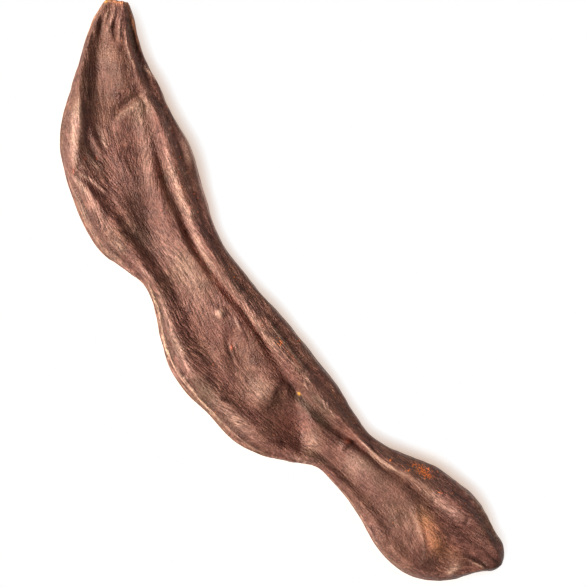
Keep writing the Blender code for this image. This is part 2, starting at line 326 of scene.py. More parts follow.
@dataclass
class Face:
    """What both faces share: thick margins, and rails between them that the face eases from one to the next.

    Attributes:
        margin_columns: Columns round each margin.
        middle_columns: Spans over the middle.
        crest_slope: The share of a straight fall in the margins, past the crests.
    """

    margin_columns: int = 14
    middle_columns: int = 60
    crest_slope: float = 0.0

    def columns(self, outer: np.ndarray, inner: np.ndarray, places: np.ndarray) -> tuple[np.ndarray, ...]:
        """Lays out the face's columns.

        Args:
            outer: How far the outer margin stands from the midline, for each row.
            inner: The same for the inner margin.
            places: Where each rail runs across, a row for each rail.

        Returns:
            Across, the share of the full height, and the turn round the margin in degrees.
        """
        turn = np.linspace(0, math.pi / 2, self.margin_columns + 1)
        climb = (1 - self.crest_slope) * np.sin(turn) + self.crest_slope * (1 - np.cos(turn))
        share = np.linspace(0, 1, self.middle_columns + 1)[1:-1]
        first, last = places[0][:, None], places[-1][:, None]
        leaving = outer[:, None] - (outer[:, None] - first) * (1 - np.cos(turn))
        middle = first + (last - first) * share
        arriving = -inner[:, None] + (inner[:, None] + last) * (1 - np.cos(turn[::-1]))
        across = np.concatenate([leaving, middle, arriving], axis=1)
        rise = np.concatenate([climb, np.ones(len(share)), climb[::-1]])
        quarter = np.degrees(turn)
        return across, rise, np.concatenate([quarter, np.full(len(share), 90.0), quarter[::-1]])

    @staticmethod
    def depth_between(across: np.ndarray, places: np.ndarray, depths: np.ndarray) -> np.ndarray:
        """Finds how far the face lies below its crests: it eases from rail to rail, and holds beyond the last.

        Args:
            across: Each point's place across.
            places: Where each rail runs across, a row for each rail.
            depths: Each rail's depth, in the shape of `places`.

        Returns:
            The depths, in the shape of `across`.
        """
        depth = np.where(across > places[0][:, None], depths[0][:, None], depths[-1][:, None])
        for outer, inner, start, end in zip(places, places[1:], depths, depths[1:]):
            outer, inner, start, end = (value[:, None] for value in (outer, inner, start, end))
            inside = (across <= outer) & (across >= inner)
            between = start + (end - start) * ease((outer - across) / (outer - inner))
            depth = np.where(inside, between, depth)
        return depth


@dataclass
class UpperFace(Face):
    """The face that shows: its crests and valleys, its folds and dents, and the thin wrinkles over them."""

    middle_columns: int = 92
    crest_slope: float = 0.42

    # The rails, from the outer margin to the inner one: along, across, and depth below the crests.
    outer_crest: tuple[Row, ...] = (
        (0, 1.3, 0), (5, 2.8, 0), (10, 3.5, 0), (14, 5.0, 0), (18, 5.8, 0), (21, 6.6, 0), (24, 8.0, 0),
        (30, 8.9, 0), (36, 8.9, 0), (42, 8.6, 0), (48, 7.9, 0), (54, 6.7, 0), (60, 6.1, 0), (66, 6.6, 0),
        (72, 7.5, 0), (80, 8.0, 0), (88, 7.7, 0), (95, 6.8, 0), (102, 5.6, 0), (109, 4.4, 0), (115, 3.9, 0),
        (121, 4.8, 0), (128, 6.2, 0), (134, 6.9, 0), (140, 6.3, 0), (145, 4.4, 0), (149, 2.0, 0),
        (151.8, 0.6, 0),
    )
    groove: tuple[Row, ...] = (
        (0, 0.9, 0), (5, 2.2, 0.1), (10, 2.9, 0.15), (16, 4.6, 0.2), (20, 5.3, 0.4), (24, 6.4, 0.9),
        (30, 6.6, 1.3), (36, 6.5, 1.6), (42, 6.3, 1.7), (48, 5.7, 1.7), (54, 4.6, 1.6), (60, 3.9, 1.5),
        (66, 4.7, 1.5), (72, 6.0, 1.5), (80, 6.5, 1.5), (86, 5.9, 1.6), (95, 4.1, 1.7), (102, 3.3, 1.7),
        (109, 2.8, 1.5), (115, 2.9, 1.2), (121, 3.4, 1.2), (127, 4.2, 1.3), (134, 3.6, 1.2), (140, 2.8, 0.9),
        (146, 1.4, 0.4), (151.8, 0.4, 0),
    )
    brow: tuple[Row, ...] = (
        (0, 0.5, 0), (5, 1.4, 0.1), (10, 1.8, 0.1), (16, 2.8, 0.1), (22, 4.1, 0.3), (28, 4.9, 0.7),
        (34, 4.9, 0.8), (40, 4.8, 0.9), (46, 4.1, 0.9), (52, 3.2, 0.8), (58, 2.3, 0.8), (64, 2.6, 0.8),
        (70, 4.2, 0.8), (76, 4.9, 0.8), (82, 4.6, 0.8), (87, 3.5, 0.8), (94, 2.2, 0.7), (100, 1.2, 0.6),
        (106, 0.8, 0.6), (112, 1.2, 0.6), (118, 1.2, 0.6), (124, 1.6, 0.7), (130, 2.2, 0.8), (136, 1.8, 0.7),
        (142, 1.0, 0.5), (147, 0.5, 0.2), (151.8, 0.2, 0),
    )
    valley: tuple[Row, ...] = (
        (0, -0.6, 0), (5, -1.7, 0.5), (10, -2.4, 1.1), (16, -2.9, 1.7), (22, -3.3, 1.9), (28, -3.8, 1.8),
        (34, -4.5, 1.7), (40, -5.0, 1.7), (46, -4.9, 1.8), (52, -4.3, 1.8), (58, -4.0, 1.8), (64, -4.1, 1.8),
        (70, -4.1, 1.8), (76, -3.9, 1.8), (82, -4.3, 1.8), (88, -4.5, 1.7), (94, -4.1, 1.6), (100, -3.8, 1.5),
        (106, -3.7, 1.2), (110, -3.6, 0.9), (115, -3.8, 0.8), (120, -4.2, 0.7), (125, -4.9, 0.6),
        (130, -6.0, 0.6), (136, -6.2, 0.7), (142, -4.4, 0.6), (148, -2.0, 0.3), (151.8, -0.3, 0),
    )
    inner_crest: tuple[Row, ...] = (
        (0, -1.3, 0), (5, -3.4, 0), (10, -5.0, 0), (16, -6.5, 0.1), (22, -7.6, 0.2), (28, -8.7, 0.3),
        (33, -10.3, 0.5), (37, -9.2, 0.4), (42, -8.0, 0.35), (48, -7.2, 0.3), (54, -7.0, 0.2), (60, -7.4, 0.2),
        (66, -8.0, 0.3), (72, -8.8, 0.35), (79, -9.4, 0.4), (85, -8.3, 0.4), (91, -7.6, 0.4), (97, -8.2, 0.5),
        (103, -6.9, 0.4), (109, -5.1, 0.2), (115, -5.3, 0.2), (121, -6.0, 0.2), (127, -7.1, 0.2),
        (133, -8.6, 0.2), (139, -8.0, 0.2), (145, -5.2, 0.1), (149, -2.2, 0), (151.8, -0.7, 0),
    )

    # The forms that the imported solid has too.
    folds: tuple[Form, ...] = (
        Fold((19.4, 7.6, 21, 5, 22.6, 2.2, 24.8, -2.2), -1.3, 1, 2.3),
        Fold((20.8, 7, 22.6, 4.2, 24.4, 1.2, 26.4, -2), 0.5, 1.8, 0.8),
        Fold((32.4, -8.8, 33, -10.6, 33.2, -13), -0.5, 0.5, 0.6),
        Fold((34, -9.4, 38, -7.6, 44, -6.6), -0.4, 1),
        Fold((26.5, -8.2, 30, -7.2, 33.5, -5.4), -0.45, 1.1, 1.3),
        Fold((24, -5, 28, -5, 33, -3.4), 0.5, 1),
        Fold((28, -2.2, 34, -1.2, 40, 0.8), 0.4, 1, 1.8),
        Fold((37, -4.4, 44, -4.4, 52, -3.4), 0.5, 1.6, 1.2),
        Fold((36, -11.6, 43, -11, 50, -10, 56, -8.4), 0.3, 0.8),
        Fold((73.5, 1.8, 78, 1.1, 82, 0.2, 85.5, -1.2), -0.6, 1.8, 1.2),
        Fold((72.5, 3.9, 77, 3.7, 81, 2.9), 0.3, 0.9),
        Fold((75, -2.6, 80, -3.2, 85, -4.4), 0.35, 1.1, 1.2),
        Fold((90.2, 4, 91.2, 0.4, 93.6, -4.6), 1, 1.3, 3.4),
        Fold((92.4, 4.2, 96.4, 1.8, 99.8, -1.2, 102.6, -4.6, 103.6, -8), -1.9, 1.8, 4.6),
        Fold((127.5, 2.8, 131.6, -0.6, 135.4, -4.6, 136.6, -9.2), 0.6, 0.7, 1.8),
        Fold((143, -1, 146, -1.4, 149.8, -1.6), -0.3, 0.8),
        Fold((2, 1.6, 6, 1.6, 10, 2.4), 0.35, 0.9, 0.8),
        Fold((2, -1, 5, -1.1, 8, -1.3), 0.4, 0.8),
        Fold((4, 4.2, 8, 4.6, 13, 5.6), -0.4, 0.8),
        Swell(13.5, 0.8, 5.5, 3.6, 0.9), Swell(30.5, 2.4, 4.6, 2.3, -0.9, -8),
        Swell(46, -0.6, 6, 2.8, -1.15, -16), Swell(61, -0.4, 8, 2.4, 0.3),
        Swell(106.5, -1.8, 4, 1.8, 0.3, 10), Swell(114.5, -0.4, 3.6, 2, 0.4),
        Swell(135.2, -1.4, 4, 2.1, 1.1, -28), Swell(140.4, -5, 2.2, 4.6, -0.8, 12),
        Swell(143, 3.6, 4, 3.2, -0.7, -20), Swell(71.2, 1.8, 1.1, 1.1, 0.5),
        Swell(110.2, 1.2, 0.9, 1.3, 0.5),
    )

    def grid(self, along: np.ndarray, outer: np.ndarray, inner: np.ndarray, half: np.ndarray) -> FaceGrid:
        """Shapes the face.

        Args:
            along: Each row's place along.
            outer: How far the outer margin stands from the midline, for each row.
            inner: The same for the inner margin.
            half: Half the thickness, for each row.

        Returns:
            The face's points.
        """
        rails = (self.outer_crest, self.groove, self.brow, self.valley, self.inner_crest)
        places = np.array([through(rail, along, 1) for rail in rails])
        depths = np.array([through(rail, along, 2) for rail in rails])
        across, rise, turn = self.columns(outer, inner, places)
        spread = np.broadcast_to(along[:, None], across.shape)
        body = half[:, None] - self.depth_between(across, places, depths) + relief(self.folds, spread, across)
        return FaceGrid(across, rise * body, np.broadcast_to(turn, across.shape))


@dataclass
class UnderFace(Face):
    """The face that lies on the table: plainer, with the seeds showing faintly."""

    # The rails are shares of the half-width, each with its depth where the pod is widest.
    rails: tuple[Row, ...] = ((0.68, 0), (0.28, 1.1), (0.04, 0.8), (-0.3, 1.1), (-0.7, 0))
    widest: float = 13.0
    seeds: tuple[Row, ...] = (
        (29, 0.8), (39, -0.9), (49, 0.4), (67, 0.7), (77, -0.6), (87, 0.9), (97, -0.4), (133, 0.3),
    )
    seed_half_length: float = 4.2
    seed_half_width: float = 3.2
    seed_swell: float = 0.45
    seed_turn: float = 20
    folds: tuple[Form, ...] = (
        Fold((16, 5.5, 22, 1, 27, -4), -0.4, 1.8),
        Fold((54, 5, 59, 0.5, 61, -5), -0.35, 2),
        Fold((103, 4.5, 108, 0, 112, -3), -0.35, 1.8),
        Fold((141, 5, 144, 0.5, 143, -4.5), -0.3, 1.4),
    )

    def grid(self, along: np.ndarray, outer: np.ndarray, inner: np.ndarray, half: np.ndarray) -> FaceGrid:
        """Shapes the face.

        Args:
            along: Each row's place along.
            outer: How far the outer margin stands from the midline, for each row.
            inner: The same for the inner margin.
            half: Half the thickness, for each row.

        Returns:
            The face's points.
        """
        fullness = np.minimum(1.0, (outer + inner) / 2 / self.widest) ** 2
        places = np.array([share * (outer if share > 0 else inner) for share, _ in self.rails])
        depths = np.array([depth * fullness for _, depth in self.rails])
        across, rise, turn = self.columns(outer, inner, places)
        spread = np.broadcast_to(along[:, None], across.shape)
        seeds = [
            Swell(*seed, self.seed_half_length, self.seed_half_width, self.seed_swell, self.seed_turn)
            for seed in self.seeds
        ]
        forms = (*self.folds, *seeds)
        body = half[:, None] - self.depth_between(across, places, depths) + relief(forms, spread, across)
        return FaceGrid(across, rise * body, np.broadcast_to(turn, across.shape))


# A cord's upper edge on the inner margin, and a raised seam beside the inner edge whose pale line is partly its
# own colour and partly painted highlight.
MARGIN_LINE: Path = (33.5, -12.6, 37, -11.9, 40, -11.5, 44, -11.2, 48, -10.7, 52, -9.7, 55, -8.6)
INNER_SEAM: Path = (
    53, -9.1, 55.5, -8.5, 57.5, -8.4, 60, -9.0, 63, -9.4, 66, -9.9, 69.3, -11.0, 72.4, -11.9,
    75.5, -12.3, 78.4, -12.3, 82, -11.9, 86, -11.75, 91, -11.55, 95, -11.3, 98, -10.6, 100.5, -9.7,
)


@dataclass(frozen=True)
class Line:
    """A line that both stands out from the skin, or sinks into it, and takes a tint.

    Attributes:
        path: Its path, as a Fold's.
        relief: A Fold's height and half-widths.
        soot: The same for the tint of that name, which paints shade into the sunken lines, as for the two
        below, which paint pale colour and highlights onto the raised lines.
    """

    path: Path
    relief: Row
    soot: Row = ()
    bloom: Row = ()
    cream: Row = ()


# From the stalk to the beak. The dark tint in the sunken lines is painted shade; the pale tints on the raised
# lines are painted highlights, in part over the skin's own pale seams.
LINES: tuple[Line, ...] = (
    Line((1.8, -1, 3, -1.4, 4.2, -1.8), relief=(0.2, 0.22), cream=(0.9, 0.2)),
    Line((2.4, -0.7, 4.2, -1.1, 5.8, -1.5), relief=(-0.12, 0.22), soot=(0.25, 0.2)),
    Line((2.6, -1.9, 5.2, -2.4, 7, -2.6, 8.6, -2.9), relief=(-0.25, 0.35), soot=(0.4, 0.32)),
    Line((3, 0.5, 5, 0.4, 7.2, 0.5, 8.8, 0.9), relief=(-0.4, 0.35, 0.4), soot=(0.5, 0.36)),
    Line((6.2, -3.9, 7.4, -4, 8.6, -4.1), relief=(-0.18, 0.22), soot=(0.5, 0.22)),
    Line((2.4, 2.9, 5.1, 3.8, 7.8, 4.6, 11, 5.5, 13.2, 6.5), relief=(-0.3, 0.3), soot=(0.5, 0.28)),
    Line((4.4, 2.1, 7.2, 3, 9.8, 3.4, 12, 4.1, 13.5, 4.7, 15.8, 5.4), relief=(0.28, 0.25, 0.3),
        bloom=(0.6, 0.22)),
    Line((33.3, -11, 35, -8.8, 37.4, -7.1, 39.6, -5.8), relief=(0.2, 0.25), bloom=(0.9, 0.22)),
    Line(MARGIN_LINE, relief=(-0.24, 0.24), soot=(0.8, 0.24)),
    Line(beside(MARGIN_LINE, -0.5), relief=(0.2, 0.22), bloom=(0.7, 0.2)),
    Line(beside(MARGIN_LINE, -1.0), relief=(-0.18, 0.2), soot=(0.5, 0.18)),
    Line(beside(INNER_SEAM, 0.42), relief=(-0.25, 0.26, 0.22), soot=(0.7, 0.24, 0.2)),
    Line(INNER_SEAM, relief=(0.22, 0.22, 0.2), cream=(1.5, 0.22, 0.2)),
    Line(beside(INNER_SEAM, -0.36), relief=(-0.14, 0.16), soot=(0.35, 0.15)),
    Line((75.5, 0.2, 79, -0.6, 84, -2.2), relief=(-0.4, 0.45, 0.6), soot=(0.35, 0.4, 0.5)),
    Line((94.8, 7.5, 96, 7.1, 97.6, 6.5), relief=(0.2, 0.16, 0.2), bloom=(0.8, 0.16)),
    Line((95.2, 6.3, 96.4, 5.9, 97.8, 5.5), relief=(0.2, 0.16, 0.2), bloom=(0.8, 0.18)),
    Line((100.2, 5.9, 101.2, 5.4, 102.6, 4.4), relief=(0.26, 0.18, 0.2), bloom=(0.9, 0.16)),
    Line((101.2, 6, 102.1, 5.4, 103, 4.7), relief=(0.22, 0.16, 0.18), bloom=(0.8, 0.14)),
    Line((102.8, 5.2, 104, 4.6, 105.2, 4.2), relief=(0.2, 0.16, 0.18), bloom=(0.7, 0.14)),
    Line((110.4, 4.6, 113, 4.35, 116, 4.05, 119, 4.1, 122, 4.8, 124, 5.4), relief=(-0.28, 0.2),
        soot=(0.75, 0.2)),
    Line((113.4, 3.3, 116, 2.9, 119, 2.8, 122, 3.3), relief=(0.16, 0.16), bloom=(0.6, 0.16)),
    Line((139.6, 6.2, 140.4, 5.4, 140.7, 4.4, 140.3, 2.6), relief=(-0.3, 0.4, 0.5), soot=(0.5, 0.4, 0.45)),
    Line((142.2, -7.4, 143, -5.4, 143.8, -3.3), relief=(0.35, 0.6), bloom=(0.8, 0.55)),
    Line((144.4, -1.4, 145.8, -1.5, 147.6, -1.5, 149, -2.1, 150.4, -2.3), relief=(-0.22, 0.26),
        soot=(0.8, 0.26)),
    Line((144.6, -2.4, 147.1, -2.2, 149, -2.5), relief=(0.22, 0.25, 0.3), bloom=(0.7, 0.25)),
    Line((146.8, 0.9, 149.8, 0.2, 151, -0.2), relief=(-0.2, 0.3), soot=(0.4, 0.3)),
)


def layer_of_lines(name: str) -> tuple[Fold, ...]:
    """Picks the lines' relief, or one of their tints, by its name."""
    return tuple(Fold(line.path, *getattr(line, name)) for line in LINES if getattr(line, name, ()))


@dataclass
class Wrinkles:
    """The thin wrinkles, cords and pits that stand on the main forms, besides the lines above."""

    forms: tuple[Form, ...] = (
        Fold((0.8, -0.4, 2.6, -0.1, 4.2, -0.1, 6.4, -0.8, 8.6, -1.1), 0.32, 0.55, 0.6),
        Fold((1.6, 1.4, 4.9, 1.5, 7, 1.6, 9.6, 2.5), 0.28, 0.45),
        Fold((3.6, -2.9, 4.8, -3.2, 5.9, -3.5), 0.16, 0.25),
        Fold((7, -4.5, 8.5, -4.6, 10, -4.7), 0.2, 0.3),
        Fold((12.8, 5.6, 14.9, 7.2, 16.7, 8.5, 18.7, 9.7, 20.5, 10.4), 0.35, 0.35),
        Fold((20, 5.8, 21.4, 3.6, 23, 1, 24.6, -1.6), -0.22, 0.45, 0.6),
        Fold((25.5, 6.1, 29, 5.6, 33, 5.1, 36, 4.9), -0.14, 0.35),
        Fold((18, -6.5, 22, -7, 26, -7.4, 30, -8.2), 0.35, 0.6, 0.9),
        Fold((23, 7, 27, 7.2, 31, 7.4, 35, 7.4), -0.16, 0.3),
        Fold((24, -5, 28, -4.4, 32, -3.7), -0.2, 0.5, 0.4),
        Fold((27.5, -7.2, 30, -6.5, 34, -5.5), -0.16, 0.5, 0.8),
        Fold((26, -6.2, 29, -5.2, 33, -4.4), 0.16, 0.35),
        Fold((20, -7.2, 24, -7.8, 28, -8.7, 31.5, -9.6), 0.35, 0.7, 1.2),
        Fold((22, -9.4, 26, -9.8, 30, -11), -0.16, 0.35),
        Swell(33.4, -10.8, 0.4, 0.35, -0.25),
        Fold((29, -8.2, 32, -7, 35.4, -5.2), 0.2, 0.35),
        Fold((33.6, -11.6, 36.5, -10, 40, -8.7, 44, -8.6), 0.4, 0.6, 0.8),
        Fold((34.4, -8.4, 37, -6.9, 39.2, -5.6), 0.12, 0.18),
        Fold((35, -5.5, 39, -4.4, 44, -3.9), -0.12, 0.35, 0.3),
        Fold((38, -6.6, 42, -5.2, 47, -4.4), -0.12, 0.35, 0.3),
        Swell(41, -9.5, 3, 0.8, 0.22, 6),
        Fold((22, -10.6, 27, -11.9, 31, -12.3), -0.25, 0.5, 0.6),
        Fold((62, -8.2, 68, -8.5, 73, -9.5, 78, -10.2), -0.16, 0.3),
        Swell(85.5, -8.3, 1, 0.7, 0.2, 20), Swell(87.8, -7.2, 1, 0.6, 0.2, 20),
        Fold((112, -5.6, 118, -6.1, 124, -7.2, 130, -8.8), -0.14, 0.3),
        Fold((46, -10, 48.5, -8.9, 51.5, -8.3), 0.3, 0.4, 0.6),
        Fold((51.5, -8.4, 54.5, -7.2, 57, -7.2), 0.3, 0.4, 0.5),
        Fold((55.6, -7, 56.6, -8.1, 59, -8.3, 62, -8.7), -0.3, 0.28),
        Fold((33, 6.8, 38, 6.2, 42, 5.7, 46, 5, 50.5, 4), -0.12, 0.6, 0.7),
        Fold((45.5, 6.4, 49, 5.6, 52, 4.9, 56, 4, 61, 3.4), -0.08, 0.6, 0.8),
        Fold((47, 4.6, 52, 3.2, 57, 2.4, 62, 2.4, 67, 3.2), 0.2, 0.9),
        Fold((33, 5.2, 38, 4.2, 44, 3.7, 49, 2.4, 54, 1.2), 0.25, 0.7, 1.2),
        Fold((58.5, 5, 62, 5.1, 66, 5.2, 70, 6), -0.18, 0.25),
        Fold((74.5, 9.2, 79, 9.6, 84, 9.4), 0.22, 0.25),
        Fold((83.5, 9.3, 88, 8.9, 92, 8.2, 97, 7, 101, 6.2), 0.25, 0.25),
        Fold((86, 9.9, 91, 9.2, 95, 8.2), 0.2, 0.25),
        Fold((92, 7.7, 93.4, 7), 0.22, 0.25),
        Fold((73.2, 3.3, 76, 3.3, 79.6, 2.7), -0.18, 0.3, 0.4),
        Fold((76.5, 4.8, 79.5, 4, 82.2, 3.1), -0.12, 0.3, 0.35),
        Fold((78.6, 2.2, 79.6, 1.2, 80.8, 2, 79.9, 3), -0.05, 0.25),
        Fold((82.8, 3, 83.2, 2.1, 84, 1.5), -0.14, 0.35),
        Swell(71.3, 1.8, 0.65, 0.65, 0.5), Swell(69.6, 2.3, 0.4, 0.5, -0.3),
        Swell(78.7, 0, 0.5, 0.25, 0.15, -40),
        Fold((71, -5.4, 75, -4.5, 79, -4.2), -0.09, 0.3),
        Fold((73, -6.8, 77, -5.9, 81, -5.4), -0.09, 0.3),
        Fold((72, -8.2, 76, -7.4, 80, -6.8), -0.1, 0.3),
        Fold((86, -9.4, 89, -8.2, 92, -7.4), 0.2, 0.35),
        Fold((84, -10.6, 87.5, -9.8, 91, -8.8), 0.2, 0.35),
        Fold((88, -10.8, 92, -10, 96, -9.4), 0.18, 0.35),
        Fold((78.2, -12.1, 78.1, -11.5, 78.5, -10.9, 79.4, -10.2), -0.25, 0.22),
        Fold((97, 7.2, 99, 6.6, 101, 6.2), 0.18, 0.25),
        Fold((91.5, 5, 93.6, 4.6, 95.4, 4), 0.16, 0.22),
        Swell(96.1, 3.7, 0.35, 0.35, 0.2),
        Fold((109, 0.1, 109.9, 1, 109.6, 2.4), 0.2, 0.3),
        Fold((110.6, -0.4, 111.1, 0.9, 110.8, 2.2), -0.2, 0.3),
        Fold((108.2, 0.6, 108.4, 1.6, 108.5, 2.4), -0.2, 0.3),
        Swell(110.1, 2.1, 0.45, 0.45, 0.25),
        Fold((109.5, 4.1, 113, 3.8, 116, 3.4, 119, 3.4, 122, 4, 126, 5), 0.26, 0.26),
        Fold((126, 0.6, 129.4, -1.4, 132, -4, 133.2, -7, 133, -9.8), 0.08, 0.4),
        Fold((128, -0.2, 130.6, -2, 133.4, -4.8, 134.8, -7.6, 134.6, -10), 0.07, 0.3),
        Fold((124, -1, 127.4, -2.4, 130, -5, 131, -8), 0.06, 0.4),
        Fold((128.6, -6.4, 130, -7.6, 131, -9.4), -0.2, 0.5, 0.7),
        Fold((128, 4.2, 132, 3.9, 135, 3.4, 139.5, 3.1), 0.18, 0.3),
        Fold((128, 0.6, 132, -1.8, 135.5, -4.8, 136.6, -9), -0.2, 1.6, 0.6),
    )
    inner_cords: tuple[Cord, ...] = (
        Cord(34, 8, ((0, 0), (40, 0), (50, 0.14), (58, 0.2), (84, 0.2), (97, 0.2), (104, 0.14), (151.8, 0.05))),
        Cord(56, 9, ((0, 0), (50, 0), (62, -0.2), (74, -0.25), (84, -0.2), (98, -0.15), (106, 0), (151.8, 0))),
        Cord(17, 7, ((0, 0), (50, 0), (60, -0.12), (98, -0.12), (106, 0), (151.8, 0))),
        Cord(40, 6, ((0, 0), (30, 0), (38, 0.16), (50, 0.18), (56, 0), (151.8, 0))),
        Cord(52, 5, ((0, 0), (32, 0), (40, -0.16), (50, -0.16), (56, 0), (151.8, 0))),
        Cord(63, 5, ((0, 0), (34, 0), (42, 0.16), (50, 0.14), (56, 0), (151.8, 0))),
        Cord(74, 5, ((0, 0), (34, 0), (42, -0.14), (50, -0.12), (56, 0), (151.8, 0))),
    )
    outer_cords: tuple[Cord, ...] = (
        Cord(36, 12, (
            (0, 0.1), (6, 0.3), (14, 0.35), (24, 0.3), (34, 0.45), (46, 0.42), (58, 0.3), (70, 0.35),
            (84, 0.42), (98, 0.35), (110, 0.2), (130, 0.25), (146, 0.2), (151.8, 0),
        )),
        Cord(60, 10, (
            (0, 0), (6, -0.25), (14, -0.3), (24, -0.25), (34, -0.35), (58, -0.2), (84, -0.3), (98, -0.25),
            (110, -0.1), (130, -0.15), (146, -0.1), (151.8, 0),
        )),
        Cord(48, 3.5, ((0, 0), (30, 0.05), (50, 0.08), (70, 0.06), (90, 0.1), (110, 0.08), (151.8, 0))),
        Cord(27, 3.5, ((0, 0), (30, -0.05), (60, -0.08), (90, -0.08), (120, -0.06), (151.8, 0))),
        Cord(72, 3.5, ((0, 0), (30, 0.05), (60, 0.03), (90, 0.08), (105, 0.06), (125, 0), (151.8, 0))),
    )
    streak_length: float = 4.6
    streak_width: float = 0.95
    streak_height: float = 0.13
    ripple_length: float = 9.0
    ripple_width: float = 3.0
    ripple_height: float = 0.22
    full_turn: float = 30.0  # degrees round a margin from which the lines have their full height


@dataclass
class Lie:
    """Which way the skin's fibres lean, in ovals: -1 falls towards the beak, 1 rises, 0 follows the pod."""

    ovals: tuple[Swell, ...] = (
        Swell(36, 3.5, 14, 4.5, -0.85, -4), Swell(34, -5.5, 10, 4, 1, 8), Swell(50, -6.5, 8, 3, 0.6),
        Swell(63, 0, 8, 4, -0.35), Swell(76, -6, 9, 3.4, 0.9), Swell(80, 2.6, 6, 2.6, -0.6, -8),
        Swell(90, -9.5, 7, 2.6, 1), Swell(98, 6.5, 7, 2, -0.7, -8), Swell(132, -4.5, 7, 4.5, -1, -30),
        Swell(144, -4, 4, 3, 1, 30),
    )

    # Where the fibres show more than elsewhere or, where the height is negative, less.
    vivid_ovals: tuple[Swell, ...] = (
        Swell(11, 0, 9, 5, -0.35), Swell(41, 7.4, 14, 1.4, 1.2, -5), Swell(36, 1, 10, 5, 0.25),
        Swell(36, 12.2, 18, 1.6, -0.8, -2), Swell(37, 10.2, 16, 1.1, -0.2, -2),
        Swell(50, -3.6, 14, 3.2, 0.5), Swell(42, -9, 9, 2.2, 0.85, 5), Swell(56, 4.4, 7, 1.2, -0.5, -5),
        Swell(78, 7.4, 14, 1.8, 1.3), Swell(82, 11, 14, 1.6, 0.4, -4), Swell(75, -7.8, 16, 3.8, 1, -4),
        Swell(99.5, 5, 5, 1.4, 0.5, -14), Swell(118, 0.6, 9, 2.8, -0.65), Swell(118, -3, 10, 2.4, -0.45),
        Swell(132, -3, 8, 5, -0.45, -20), Swell(114, 2, 13, 1.3, -0.4), Swell(97, -2.5, 4, 4.5, -0.4, -20),
        Swell(131, 8.6, 8, 1.6, 0.5),
    )
    vivid_limits: tuple[float, float] = (0.3, 2.3)

    def lean(self, along: np.ndarray, across: np.ndarray) -> np.ndarray:
        """Returns the fibres' lean at points of the upper face."""
        return np.clip(relief(self.ovals, along, across), -1, 1)

    def vivid(self, along: np.ndarray, across: np.ndarray) -> np.ndarray:
        """Returns how strongly the fibres show at points of the upper face, where 1 is as elsewhere."""
        return np.clip(1 + relief(self.vivid_ovals, along, across), *self.vivid_limits)


